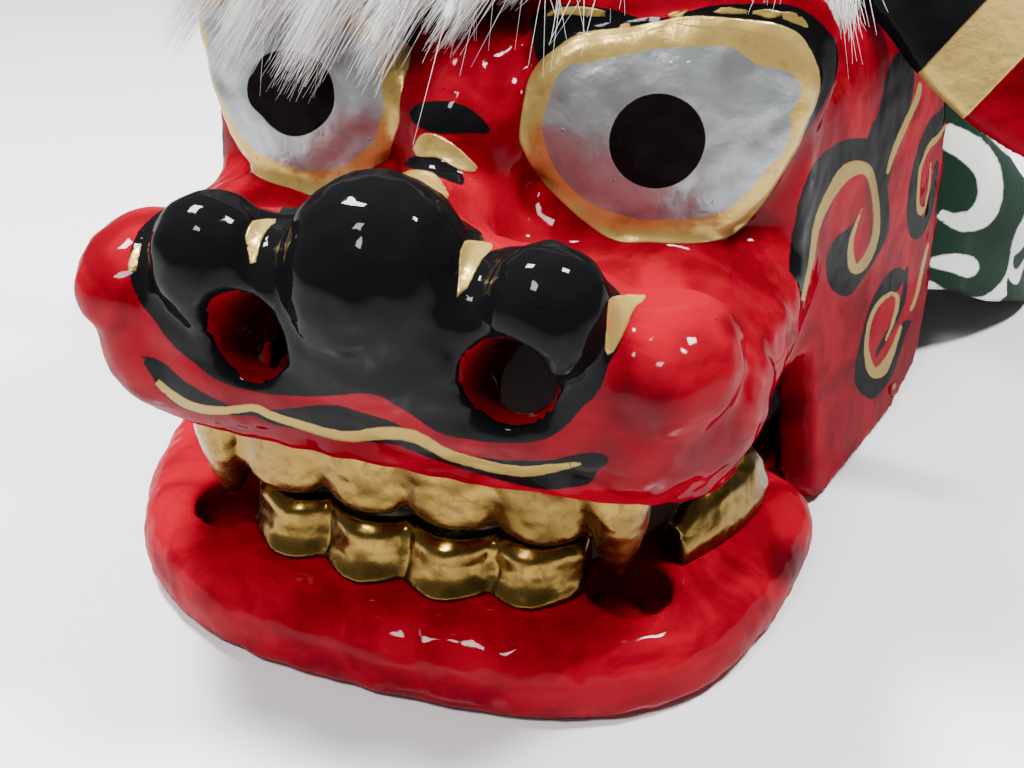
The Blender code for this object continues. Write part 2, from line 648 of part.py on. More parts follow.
def build_side_teeth(parts, pivot):
    """The cheek teeth: a low ridge on each side of the jaw and one under each side of the lip."""
    base = JAW_THICKNESS + SEAT_GAP
    for name, side in (("lower_side_teeth_left", 1), ("lower_side_teeth_right", -1)):
        mesh = bmesh.new()
        rings = []
        for row in rows(SIDE_TOOTH_COLUMNS, LOWER_SIDE):
            outer = Vector((side * row["outer_x"], row["outer_y"], base))
            inner = Vector((side * row["inner_x"], row["inner_y"], base))
            tall = Vector((0.0, 0.0, row["height"]))
            rings.append([outer.lerp(inner, share) + tall * height for share, height in LOWER_SIDE_SECTION])
        add_loft(mesh, rings)
        as_object(name, mesh, parts, "gold_leaf")
    row = UPPER_SIDE
    for name, side in (("upper_side_teeth_left", 1), ("upper_side_teeth_right", -1)):
        mesh = bmesh.new()
        rings = []
        for i in range(row["count"]):
            back = row["step"] * i
            x = row["x"] + row["flare"] * back
            low = row["foot"] - row["swell"] * abs(sin(pi * i / 4.0)) ** 0.7
            root = row["root_x"] + row["root_flare"] * back
            inner = root - row["root_depth"]
            ring = (
                (x + 0.5, low), (x + 3.0, low + 4.0), (x + 3.6, row["shelf"]), (root, row["shelf"] + 0.6),
                (root, row["top"]), (inner, row["top"]), (inner, low + 5.0), (x - 4.0, low),
            )
            rings.append([(side * across, row["front_y"] + back, z) for across, z in ring])
        add_loft(mesh, rings)
        as_object(name, mesh, parts, "gold_leaf", pivot)


def skull_row(z):
    """The plan outline of the skull at any height."""
    table = rows(SKULL_COLUMNS, SKULL)
    for low, high in zip(table, table[1:]):
        if z <= high["z"]:
            share = (z - low["z"]) / (high["z"] - low["z"])
            return {name: low[name] + share * (high[name] - low[name]) for name in SKULL_COLUMNS}
    return table[-1]


def half_width_at(row, y):
    """Half the width of a plan outline this far back."""
    if y >= row["corner_y"]:
        share = (y - row["corner_y"]) / (REAR_RIM_Y + PAST_RIM - row["corner_y"])
        return row["corner_x"] + share * (row["rear_x"] - row["corner_x"])
    ahead = (row["corner_y"] - y) / (row["corner_y"] - row["front"])
    return row["corner_x"] * max(0.0, 1.0 - ahead ** SQUARENESS) ** (1 / SQUARENESS) if ahead < 1.0 else 0.0


def crown_height(x, y):
    """Height of the skull above a point of the plan."""
    z = SKULL[-1][0]
    while z > CROWN_FADE[1] and half_width_at(skull_row(z), y) < abs(x):
        z -= 0.5
    return z


def add_lock(mesh, root, middle, tip, radius):
    """Add one lock of fur: a cone that arches from its root and thins to its tip."""
    last = None
    for i in range(LOCK_STEPS + 1):
        t = i / LOCK_STEPS
        point = root * (1 - t) ** 2 + middle * (2 * t * (1 - t)) + tip * t ** 2
        thick = radius * (1.0 - (1.0 - LOCK_TIP_SHARE) * t ** 1.5)
        add_ellipsoid(mesh, point, (thick,) * 3, segments=12)
        if last:
            add_rod(mesh, last[0], point, last[1], thick, sides=12)
        last = (point, thick)


def build_mane(parts, clearances, pivot):
    """The white mane: locks fused to one another over the crown, the front ones falling over the brow."""
    mesh = bmesh.new()
    for row in rows(LOCK_COLUMNS, FRONT_LOCKS):
        root = Vector((row["root_x"], row["root_y"], crown_height(row["root_x"], row["root_y"]) + 2.0))
        tip = Vector((row["tip_x"], row["tip_y"], row["tip_z"]))
        middle = Vector(((root.x + tip.x) / 2, 0.7 * tip.y + 0.3 * root.y, root.z + BROW_ARCH))
        add_lock(mesh, root, middle, tip, row["radius"])
    for number, y in enumerate(CROWN_LOCKS["rows"]):
        x = -CROWN_LOCKS["half_width"] + CROWN_LOCKS["shift"] * (number % 2)
        while x <= CROWN_LOCKS["half_width"]:
            tip_x, tip_y = x * CROWN_LOCKS["spread"], y - CROWN_LOCKS["reach"]
            root = Vector((x, y, crown_height(x, y) + 1.0))
            tip = Vector((tip_x, tip_y, crown_height(tip_x, tip_y) + CROWN_LOCKS["lift"]))
            middle = (root + tip) / 2 + Vector((0.0, -4.0, CROWN_ARCH))
            add_lock(mesh, root, middle, tip, CROWN_LOCKS["radius"])
            x += CROWN_LOCKS["step"]
    mane = as_object("mane", mesh, parts, "white_fur", pivot)
    remesh(mane, MANE_VOXEL)
    soften(mane, 1)
    thin_out(mane, MANE_KEEP)
    for clearance in clearances:
        cut(mane, clearance)


def resample(points, count):
    """Space points evenly along a line."""
    runs = [0.0]
    for near, far in zip(points, points[1:]):
        runs.append(runs[-1] + (far - near).length)
    made = []
    for i in range(count):
        wanted = runs[-1] * i / (count - 1)
        j = 0
        while j < len(points) - 2 and runs[j + 1] < wanted:
            j += 1
        share = (wanted - runs[j]) / (runs[j + 1] - runs[j])
        made.append(points[j].lerp(points[j + 1], min(share, 1.0)))
    return made


def rim_arch(y):
    """The line of the cloth just inside the wall at this distance back, from hem to hem."""
    inside = SHELL_WALL + CLOTH_GAP + CLOTH_THICKNESS / 2
    half = []
    for level in RIM_LEVELS:
        drop = (CLOTH_GAP + SHELL_WALL) * crown_share(level)
        half.append((max(half_width_at(skull_row(level), y) - inside, 0.0), level - drop))
    top = SKULL[-1][0] - SHELL_WALL - CLOTH_GAP - CLOTH_THICKNESS / 2
    left = [Vector((x, y, z)) for x, z in half]
    right = [Vector((-x, y, z)) for x, z in reversed(half)]
    return resample(left + [Vector((0.0, y, top))] + right, CLOTH_POINTS)


def free_arch(row):
    """The line of the cloth behind the rim: an arch from hem to hem."""
    power = 2 / row["squareness"]
    points = []
    for i in range(ARCH_STEPS + 1):
        angle = pi * i / ARCH_STEPS
        x = row["half_width"] * abs(cos(angle)) ** power * (1 if angle < pi / 2 else -1)
        z = row["foot"] + (row["top"] - row["foot"]) * abs(sin(angle)) ** power
        points.append(Vector((x, row["y"], z)))
    return resample(points, CLOTH_POINTS)


def build_cloth(parts, pivot):
    """The short body cloth: one sheet from inside the rim over the back of the head to the table."""
    lines = [rim_arch(CLOTH_START_Y), rim_arch(REAR_RIM_Y + 1.0)]
    for row in rows(CLOTH_COLUMNS, CLOTH_ARCHES):
        line = free_arch(row)
        depth = FOLD_DEPTH * min(1.0, (row["y"] - REAR_RIM_Y) / FOLD_START) * min(1.0, row["top"] / 40.0)
        middle = Vector((0.0, row["y"], 0.3 * row["top"]))
        for i, point in enumerate(line):
            wave = sin(2 * pi * FOLDS * i / (CLOTH_POINTS - 1) + FOLD_TURN * row["y"])
            outward = (point - middle).normalized()
            point += outward * depth * wave
            point.z = max(point.z, CLOTH_LOWEST_Z)
        lines.append(line)
    mesh = bmesh.new()
    grid = [[mesh.verts.new(place(*point)) for point in line] for line in lines]
    for near, far in zip(grid, grid[1:]):
        for i in range(CLOTH_POINTS - 1):
            mesh.faces.new((near[i], near[i + 1], far[i + 1], far[i]))
    cloth = as_object("body_cloth", mesh, parts, "green_cotton", pivot)
    made = cloth.modifiers.new("Thickness", "SOLIDIFY")
    made.thickness = CLOTH_THICKNESS * MM
    made.offset = 0.0
    made.use_even_offset = True


def ear_rings(name, side, grow=0.0):
    """Cross-sections of one ear, hollowed along its front and grown all round by this much."""
    droop = radians(EAR_DROOP[name])
    along = Vector((cos(droop), 0.0, -sin(droop)))
    across = Vector((sin(droop), 0.0, cos(droop)))
    base = Vector(EAR_BASE)
    table = rows(EAR_COLUMNS, EAR)
    rings = []
    for row in table:
        end = -grow if row is table[0] else grow if row is table[-1] else 0.0
        middle = base + along * (row["along"] + end) + across * row["sag"]
        half_width = row["half_width"] + grow
        hollow = EAR_HOLLOW * (row["half_width"] / 26.0) ** 2
        ring = []
        for share, face in EAR_SECTION:
            edge = 0.25 if abs(share) == 1.0 else 0.0
            depth = hollow * (1.0 - share * share)
            depth += (row["thickness"] + grow) * (1.0 - edge) if face else row["thickness"] * edge - grow
            point = middle + across * (share * half_width) + Vector((0.0, depth, 0.0))
            ring.append((side * point.x, point.y, point.z))
        rings.append(ring)
    return rings


def build_ears(parts, cutters, clearance, pivot):
    """Two leaf-shaped ears that lie out from the crown, the left one drooping more."""
    grown = bmesh.new()
    for name, side in (("ear_left", 1), ("ear_right", -1)):
        mesh = bmesh.new()
        add_loft(mesh, ear_rings(name, side))
        cut(as_object(name, mesh, parts, "red_lacquer", pivot), clearance)
        add_loft(grown, ear_rings(name, side, EAR_GAP))
    return as_object("ear_clearance", grown, cutters, pivot=pivot)


def main():
    """Build every piece of the head in its collection."""
    clear_scene()
    parts = new_collection("lion_dance_head")
    cutters = new_collection("cutters", hidden=True)
    pivot = bpy.data.objects.new("head_pivot", None)
    pivot.location = place(0.0, HINGE_Y, HINGE_Z)
    parts.objects.link(pivot)
    bpy.context.view_layer.update()
    build_shell(parts, cutters, pivot)
    build_jaw(parts, cutters)
    build_pins(parts, pivot)
    build_upper_front(parts, cutters, pivot)
    build_lower_front(parts)
    build_side_teeth(parts, pivot)
    ear_seat = build_clearance("ear_seat", EAR_SEAT_GAP, cutters, pivot)
    ear_clearance = build_ears(parts, cutters, ear_seat, pivot)
    mane_seat = build_clearance("mane_seat", FUR_GAP, cutters, pivot)
    build_mane(parts, (mane_seat, ear_clearance), pivot)
    build_cloth(parts, pivot)


main()
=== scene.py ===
"""Lion dance head: the looks of a red lacquered, hand-painted head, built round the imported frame.

Lengths are millimetres in the maker's drawing: x to the lion's left, y back from the lower front teeth
and z up from the floor. They become metres of the frame when a mesh is made. Outlines that were read in
the reference view are pixels of its 1024 x 768 frame, and PhotoCamera turns them into places.
"""
import json
import logging
import math
from dataclasses import dataclass, field
from enum import Enum
from typing import Sequence

import bmesh
import bpy
import numpy as np
from mathutils import Matrix, Vector, noise
from mathutils.bvhtree import BVHTree


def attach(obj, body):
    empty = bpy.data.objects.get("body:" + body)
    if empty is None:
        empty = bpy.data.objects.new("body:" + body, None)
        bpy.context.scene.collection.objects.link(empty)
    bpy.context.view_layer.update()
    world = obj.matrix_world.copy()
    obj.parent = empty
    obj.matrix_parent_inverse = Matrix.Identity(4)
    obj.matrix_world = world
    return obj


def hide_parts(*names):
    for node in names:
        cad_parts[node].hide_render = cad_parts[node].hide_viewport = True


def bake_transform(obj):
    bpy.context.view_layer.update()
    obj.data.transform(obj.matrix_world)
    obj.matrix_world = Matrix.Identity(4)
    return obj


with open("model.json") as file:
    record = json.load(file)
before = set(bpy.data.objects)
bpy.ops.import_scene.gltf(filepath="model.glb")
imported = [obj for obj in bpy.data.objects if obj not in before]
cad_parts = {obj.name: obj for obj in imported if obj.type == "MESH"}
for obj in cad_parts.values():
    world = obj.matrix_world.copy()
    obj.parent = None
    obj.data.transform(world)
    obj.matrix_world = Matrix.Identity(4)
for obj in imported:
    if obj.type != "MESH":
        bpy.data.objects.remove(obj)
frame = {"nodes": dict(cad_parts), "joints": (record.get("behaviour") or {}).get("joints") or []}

LOG = logging.getLogger("lion_dance_head")
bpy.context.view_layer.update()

MM = 0.001
HINGE = (0.0, 175.0, 10.0)
BORE_START = 90.0
JOINT = frame["joints"][0]
ORIGIN = np.array(JOINT["pos_m"]) - np.array(HINGE) * MM

# the greatest depth inside or outside a layer of paint that is told apart
PAINT_DEPTH = 9.0
# how far back the face turns into the side walls
WALL_START = (55.0, 95.0)

Point = Sequence[float]
Rows = Sequence[Sequence[float]]
Span = tuple[float, float]
Three = tuple[float, float, float]
Box = tuple[Point, Point]
Array = np.ndarray
Piece = bpy.types.Object
Finish = bpy.types.Material


class Paint(Enum):
    """The layers of paint, each an attribute that says how far inside the layer a point is."""

    INK = "ink"
    LEAF = "leaf"
    GOLD = "gold_paint"
    SILVER = "silver"
    PUPIL = "pupil"


class Chart(Enum):
    """The flat view in which a painted motif is drawn."""

    PHOTO = "pixels of the reference view"
    SIDE = "y and z on the side wall"


def to_metres(points: Array) -> Array:
    """Turn drawing millimetres into metres of the frame."""
    return ORIGIN + np.asarray(points, float) * MM


def to_drawing(points: Array) -> Array:
    """Turn metres of the frame into drawing millimetres."""
    return (np.asarray(points, float) - ORIGIN) / MM


def smooth_line(points: Rows, steps: int, closed: bool = False) -> Array:
    """Draw a smooth curve through points of any number of columns.

    Args:
        points: The points; one that is given twice makes a corner.
        steps: New points for each stretch.
        closed: Whether the last point runs back to the first.

    Returns:
        The finer line.
    """
    line = np.asarray(points, float)
    count = len(line)
    spans = count if closed else count - 1
    made = []
    for i in range(spans):
        if closed:
            before, start, end, after = (line[(i + k) % count] for k in (-1, 0, 1, 2))
        else:
            before, start, end, after = (line[min(max(i + k, 0), count - 1)] for k in (-1, 0, 1, 2))
        for step in range(steps):
            t = step / steps
            made.append(0.5 * (
                2 * start + (end - before) * t + (2 * before - 5 * start + 4 * end - after) * t ** 2
                + (3 * start - before - 3 * end + after) * t ** 3
            ))
    if not closed:
        made.append(line[-1])
    return np.array(made)


def depth_in_outline(points: Array, outline: Array) -> Array:
    """Measure how deep points lie inside a closed outline; outside it the depth is negative.

    Args:
        points: Points of two columns.
        outline: The corners of the outline.

    Returns:
        One depth for each point.
    """
    px, py = points[:, 0], points[:, 1]
    nearest = np.full(len(points), np.inf)
    inside = np.zeros(len(points), bool)
    for (ax, ay), (bx, by) in zip(outline, np.roll(outline, -1, axis=0)):
        dx, dy = bx - ax, by - ay
        length = dx * dx + dy * dy
        if length < 1e-12:
            continue
        t = np.clip(((px - ax) * dx + (py - ay) * dy) / length, 0.0, 1.0)
        nearest = np.minimum(nearest, (px - ax - t * dx) ** 2 + (py - ay - t * dy) ** 2)
        if ay != by:
            inside ^= ((ay > py) != (by > py)) & (px < (bx - ax) * (py - ay) / (by - ay) + ax)
    return np.where(inside, 1.0, -1.0) * np.sqrt(nearest)


def depth_in_stroke(points: Array, stroke: Array) -> Array:
    """Measure how deep points lie inside a brush stroke.

    Args:
        points: Points of two columns.
        stroke: The stroke's line, with its half width as the third column.

    Returns:
        One depth for each point, negative outside the stroke.
    """
    best = np.full(len(points), -np.inf)
    for near, far in zip(stroke, stroke[1:]):
        run = far[:2] - near[:2]
        length = float(run @ run)
        if length < 1e-12:
            continue
        t = np.clip((points - near[:2]) @ run / length, 0.0, 1.0)
        away = np.linalg.norm(points - near[:2] - t[:, None] * run, axis=1)
        best = np.maximum(best, near[2] + t * (far[2] - near[2]) - away)
    return best


@dataclass(frozen=True)
class PhotoCamera:
    """The camera that took the reference view, as worked out from pairs of like points on the face."""

    focal: float = 1300.0
    frame_width: float = 1024.0
    frame_height: float = 768.0
    azimuth: float = 15.913
    pitch: float = 30.613
    roll: float = 2.0
    place: Three = (107.0, -279.23, 261.22)
    sensor: float = 36.0

    def axes(self) -> tuple[Array, Array, Array]:
        """Work out the camera's right, up and forward directions.

        Returns:
            Three unit vectors in the drawing.
        """
        turn, dip, lean = (math.radians(angle) for angle in (self.azimuth, self.pitch, self.roll))
        ahead = np.array((-math.sin(turn) * math.cos(dip), math.cos(turn) * math.cos(dip), -math.sin(dip)))
        level = np.array((math.cos(turn), math.sin(turn), 0.0))
        above = np.cross(level, ahead)
        right = level * math.cos(lean) + above * math.sin(lean)
        up = -level * math.sin(lean) + above * math.cos(lean)
        return right, up, ahead

    def project(self, points: Array) -> tuple[Array, Array]:
        """Project drawing points.

        Args:
            points: Points in drawing millimetres.

        Returns:
            Their pixels, and the millimetres that one pixel spans there.
        """
        right, up, ahead = self.axes()
        away = points - np.array(self.place)
        depth = np.maximum(away @ ahead, 1.0)
        u = self.frame_width / 2 + self.focal * (away @ right) / depth
        v = self.frame_height / 2 - self.focal * (away @ up) / depth
        return np.stack((u, v), axis=1), depth / self.focal

    def make(self) -> None:
        """Add the camera to the scene and look through it."""
        right, up, ahead = self.axes()
        data = bpy.data.cameras.new("reference_view")
        data.sensor_width = self.sensor
        data.lens = self.focal / self.frame_width * self.sensor
        data.clip_start = 0.01
        camera = bpy.data.objects.new("reference_view", data)
        bpy.context.scene.collection.objects.link(camera)
        matrix = Matrix.Identity(4)
        for column, axis in enumerate((right, up, -ahead)):
            for row in range(3):
                matrix[row][column] = axis[row]
        camera.matrix_world = Matrix.Translation(Vector(to_metres(self.place))) @ matrix
        bpy.context.scene.camera = camera


CAMERA = PhotoCamera()


class Block:
    """Closed forms, drawn in millimetres, that are carved or fused into one piece."""

    def __init__(self) -> None:
        """Start with nothing."""
        self.mesh = bmesh.new()

    @staticmethod
    def _place(point: Point) -> Vector:
        """Turn one drawing point into metres."""
        return Vector(to_metres(point))

    def loft(self, rings: Sequence[Sequence[Point]]) -> None:
        """Skin closed rings of equal count and cap both ends.

        Args:
            rings: The rings, each a list of drawing points.
        """
        layers = [[self.mesh.verts.new(self._place(point)) for point in ring] for ring in rings]
        for lower, upper in zip(layers, layers[1:]):
            count = len(lower)
            for i in range(count):
                j = (i + 1) % count
                self.mesh.faces.new((lower[i], lower[j], upper[j], upper[i]))
        self.mesh.faces.new(tuple(reversed(layers[0])))
        self.mesh.faces.new(tuple(layers[-1]))

    def prism(self, outline: Rows, low: float, high: float, along_x: bool = False) -> None:
        """Extrude an outline up, or along x.

        Args:
            outline: Its corners.
            low: Where the prism starts.
            high: Where it ends.
            along_x: Whether the outline is given in y and z.
        """
        rings = []
        for level in (low, high):
            rings.append([(level, a, b) if along_x else (a, b, level) for a, b in outline])
        self.loft(rings)

    def ball(self, centre: Point, radii: Point, segments: int = 32) -> None:
        """Add a ball stretched to three radii.

        Args:
            centre: Its middle.
            radii: Its radii along x, y and z.
            segments: Faces round its waist.
        """
        matrix = Matrix.Translation(self._place(centre)) @ Matrix.Diagonal((*(r * MM for r in radii), 1.0))
        bmesh.ops.create_uvsphere(
            self.mesh, u_segments=segments, v_segments=segments // 2, radius=1.0, matrix=matrix,
        )

    def rod(
        self, start: Point, end: Point, radius: float, end_radius: float | None = None, sides: int = 24,
    ) -> None:
        """Add a round bar or a cone between two points.

        Args:
            start: The middle of one end.
            end: The middle of the other.
            radius: The radius at the start.
            end_radius: The radius at the end, if it is another.
            sides: Faces round the bar.
        """
        first, last = self._place(start), self._place(end)
        along = last - first
        turn = along.to_track_quat("Z", "Y").to_matrix().to_4x4()
        bmesh.ops.create_cone(
            self.mesh, cap_ends=True, segments=sides, radius1=radius * MM,
            radius2=(radius if end_radius is None else end_radius) * MM,
            depth=along.length, matrix=Matrix.Translation((first + last) / 2) @ turn,
        )

    def finish(self, name: str) -> Piece:
        """Make the forms an object in the scene.

        Args:
            name: The object's name.

        Returns:
            The object, with its normals outwards.
        """
        bmesh.ops.recalc_face_normals(self.mesh, faces=self.mesh.faces[:])
        data = bpy.data.meshes.new(name)
        self.mesh.to_mesh(data)
        self.mesh.free()
        return link(name, data)


def link(name: str, data: bpy.types.Mesh) -> Piece:
    """Put a mesh into the scene as an object at the origin.

    Args:
        name: The object's name.
        data: Its mesh.

    Returns:
        The object.
    """
    piece = bpy.data.objects.new(name, data)
    bpy.context.scene.collection.objects.link(piece)
    return piece


def remesh(piece: Piece, voxel: float) -> None:
    """Fuse overlapping closed forms into one even skin.

    Args:
        piece: The piece.
        voxel: The size of the skin's faces in millimetres.
    """
    made = piece.modifiers.new("Skin", "REMESH")
    made.mode = "VOXEL"
    made.voxel_size = voxel * MM


def soften(piece: Piece, times: int) -> None:
    """Round the skin, as filler and lacquer do.

    Args:
        piece: The piece.
        times: How often each point moves half way to its neighbours' middle.
    """
    made = piece.modifiers.new("Soften", "SMOOTH")
    made.factor = 0.5
    made.iterations = times


def carve(piece: Piece, cutter: Piece, operation: str = "DIFFERENCE") -> None:
    """Cut a form away, or add one.

    Args:
        piece: The piece.
        cutter: The form.
        operation: DIFFERENCE to cut it away, UNION to add it.
    """
    cutter.hide_render = True
    made = piece.modifiers.new(cutter.name, "BOOLEAN")
    made.operation = operation
    made.solver = "EXACT"
    made.object = cutter


def settle(piece: Piece, *cutters: Piece) -> Piece:
    """Turn a piece's modifiers into its plain mesh, smoothly shaded.

    Args:
        piece: The piece.
        cutters: The forms that its modifiers use, which are removed.

    Returns:
        The piece.
    """
    graph = bpy.context.evaluated_depsgraph_get()
    made = bpy.data.meshes.new_from_object(piece.evaluated_get(graph))
    piece.modifiers.clear()
    worn = piece.data
    piece.data = made
    bpy.data.meshes.remove(worn)
    made.name = piece.name
    made.shade_smooth()
    for cutter in cutters:
        bpy.data.objects.remove(cutter)
    return piece


def vertex_rows(piece: Piece, name: str) -> Array:
    """Read three numbers for each vertex.

    Args:
        piece: The piece.
        name: The numbers: "co" for the place in metres, "normal" for the normal.

    Returns:
        One row for each vertex.
    """
    flat = np.zeros(len(piece.data.vertices) * 3)
    piece.data.vertices.foreach_get(name, flat)
    return flat.reshape(-1, 3)


def places(piece: Piece) -> Array:
    """Read a mesh's vertices in drawing millimetres."""
    return to_drawing(vertex_rows(piece, "co"))


def normals(piece: Piece) -> Array:
    """Read a mesh's vertex normals."""
    return vertex_rows(piece, "normal")


def move(piece: Piece, points: Array) -> None:
    """Put a mesh's vertices at these drawing points."""
    piece.data.vertices.foreach_set("co", to_metres(points).ravel())
    piece.data.update()


def skin_tree(piece: Piece) -> BVHTree:
    """Lay out a mesh's faces in drawing millimetres, so that places on its skin are found."""
    faces = [tuple(face.vertices) for face in piece.data.polygons]
    return BVHTree.FromPolygons([tuple(point) for point in places(piece)], faces)


def pin_bores(name: str, reach: float, radius: float) -> Piece:
    """Make the two bars that bore the holes of the hinge pegs.

    Args:
        name: The object's name.
        reach: How far out the bars run.
        radius: Their radius.

    Returns:
        The bars.
    """
    bars = Block()
    for side in (-1, 1):
        bars.rod((side * BORE_START, HINGE[1], HINGE[2]), (side * reach, HINGE[1], HINGE[2]), radius)
    return bars.finish(name)


def note(piece: Piece, name: str, values: Array) -> None:
    """Keep one number for each vertex as an attribute that the finish reads."""
    kept = piece.data.attributes.new(name, "FLOAT", "POINT")
    kept.data.foreach_set("value", np.asarray(values, np.float32))


def lumps(points: Array, size: float, seed: float) -> Array:
    """Work out soft noise from -1 to 1.

    Args:
        points: Drawing points.
        size: Length of a lump in millimetres.
        seed: Shifts the noise, so that no two pieces are alike.

    Returns:
        One value for each point.
    """
    shift = Vector((seed, 2.0 * seed, 3.0 * seed))
    return np.array([noise.noise(Vector(point) / size + shift) for point in points])


def rise(low: float, high: float, values: Array) -> Array:
    """Turn values into a smooth step from 0 at low to 1 at high."""
    t = np.clip((values - low) / (high - low), 0.0, 1.0)
    return t * t * (3.0 - 2.0 * t)


def roughen(piece: Piece, waves: Rows, seed: float, calm: float = 1.0) -> None:
    """Give a skin the unevenness of handwork.

    Args:
        piece: The piece.
        waves: Pairs of lump length and height in millimetres.
        seed: Shifts the noise.
        calm: The share of the unevenness that is left on the flat side walls, behind the face.
    """
    points = places(piece)
    share = 1.0 - (1.0 - calm) * rise(*WALL_START, points[:, 1])
    lift = sum(height * lumps(points, size, seed + i) for i, (size, height) in enumerate(waves))
    move(piece, points + normals(piece) * (lift * share)[:, None])


# the parts of the head that a motif may be painted on: lowest and highest x, y and z
FACE = ((8, -60, 70), (140, 80, 215))
NOSE = ((-100, -60, 60), (100, 4, 160))
BRIDGE = ((-30, -4, 120), (30, 90, 190))
RIGHT_EYE = ((-90, 20, 100), (-10, 80, 200))
SIDE = ((88, 60, -10), (160, 230, 190))


@dataclass(frozen=True)
class Motif:
    """A painted area or brush stroke.

    An area has an outline of two columns, and a stroke has a line with its half width as third column.
    """

    paint: Paint
    line: Rows
    reach: Box = FACE
    chart: Chart = Chart.PHOTO
    mirrored: bool = True
    steps: int = 6

    def depth(self, points: Array) -> Array:
        """Measure how deep points lie in the motif and its mirror image, in millimetres.

        Args:
            points: Drawing points.

        Returns:
            One depth for each, negative outside the motif.
        """
        depth = self._one_side(points)
        if self.mirrored:
            depth = np.maximum(depth, self._one_side(points * (-1.0, 1.0, 1.0)))
        return depth

    def _one_side(self, points: Array) -> Array:
        """Measure the depth in the motif as it is drawn, and not in its mirror image.

        Args:
            points: Drawing points.

        Returns:
            One depth for each.
        """
        low, high = (np.array(corner) for corner in self.reach)
        near = np.all((points > low) & (points < high), axis=1)
        depth = np.full(len(points), -PAINT_DEPTH)
        chosen = points[near]
        if self.chart is Chart.PHOTO:
            flat, scale = CAMERA.project(chosen)
        else:
            flat, scale = chosen[:, 1:], np.ones(len(chosen))
        stroke = len(self.line[0]) == 3
        line = smooth_line(self.line, self.steps, closed=not stroke)
        measured = depth_in_stroke(flat, line) if stroke else depth_in_outline(flat, line)
        edge = np.min(np.minimum(chosen - low, high - chosen), axis=1)
        depth[near] = np.minimum(measured * scale, edge)
        return np.clip(depth, -PAINT_DEPTH, PAINT_DEPTH)


@dataclass(frozen=True)
class ShadeAndSmudge:
    """A darker patch painted into the lacquer at a pixel of the reference view, partly a real darker patch
    and partly painted shade.
    """

    u: float
    v: float
    radius: float
    strength: float


def paint_layers(piece: Piece, motifs: Sequence[Motif], extra: dict[Paint, Array]) -> None:
    """Keep the depth in each layer of paint as an attribute of the piece.

    Args:
        piece: The piece, finished in shape.
        motifs: The motifs painted on it.
        extra: Depths worked out in another way, joined with those of the motifs.
    """
    points = places(piece)
    for layer in Paint:
        depth = extra.get(layer, np.full(len(points), -PAINT_DEPTH))
        for motif in motifs:
            if motif.paint is layer:
                depth = np.maximum(depth, motif.depth(points))
        note(piece, layer.value, depth)


def painted_shade_and_smudges(points: Array, shades_and_smudges: Sequence[ShadeAndSmudge]) -> Array:
    """Work out how dark the painted shade and darker patches make each point, from 0 to 1.

    Args:
        points: Drawing points.
        shades_and_smudges: The darker patches, partly painted shade.

    Returns:
        One value for each point.
    """
    pixels, _ = CAMERA.project(points)
    dark = np.zeros(len(points))
    for shade_and_smudge in shades_and_smudges:
        away = np.linalg.norm(pixels - (shade_and_smudge.u, shade_and_smudge.v), axis=1) / shade_and_smudge.radius
        dark = np.maximum(dark, shade_and_smudge.strength * rise(1.0, 0.2, away))
    return dark


class Wire:
    """A node's output that takes part in arithmetic."""

    def __init__(self, sheet: "ShaderSheet", socket: bpy.types.NodeSocket) -> None:
        """Hold an output of a node of a sheet."""
        self.sheet = sheet
        self.socket = socket

    def maths(self, operation: str, *others: "Wire | float") -> "Wire":
        """Add a Math node that starts with this output."""
        values = {i: other for i, other in enumerate((self, *others))}
        return self.sheet.node("ShaderNodeMath", {"operation": operation}, values)

    def __add__(self, other: "Wire | float") -> "Wire":
        """Add."""
        return self.maths("ADD", other)

    __radd__ = __add__

    def __mul__(self, other: "Wire | float") -> "Wire":
        """Multiply."""
        return self.maths("MULTIPLY", other)

    __rmul__ = __mul__

    def __sub__(self, other: "Wire | float") -> "Wire":
        """Subtract."""
        return self.maths("SUBTRACT", other)

    def __rsub__(self, other: float) -> "Wire":
        """Subtract this from a number."""
        return self.sheet.node("ShaderNodeMath", {"operation": "SUBTRACT"}, {0: other, 1: self})

    def step(self, low: float, high: float) -> "Wire":
        """Step smoothly from 0 at low to 1 at high."""
        values = {"Value": self, 1: low, 2: high, 3: 0.0, 4: 1.0}
        return self.sheet.node("ShaderNodeMapRange", {"interpolation_type": "SMOOTHSTEP"}, values)


Value = Wire | float
Colour = Wire | Three


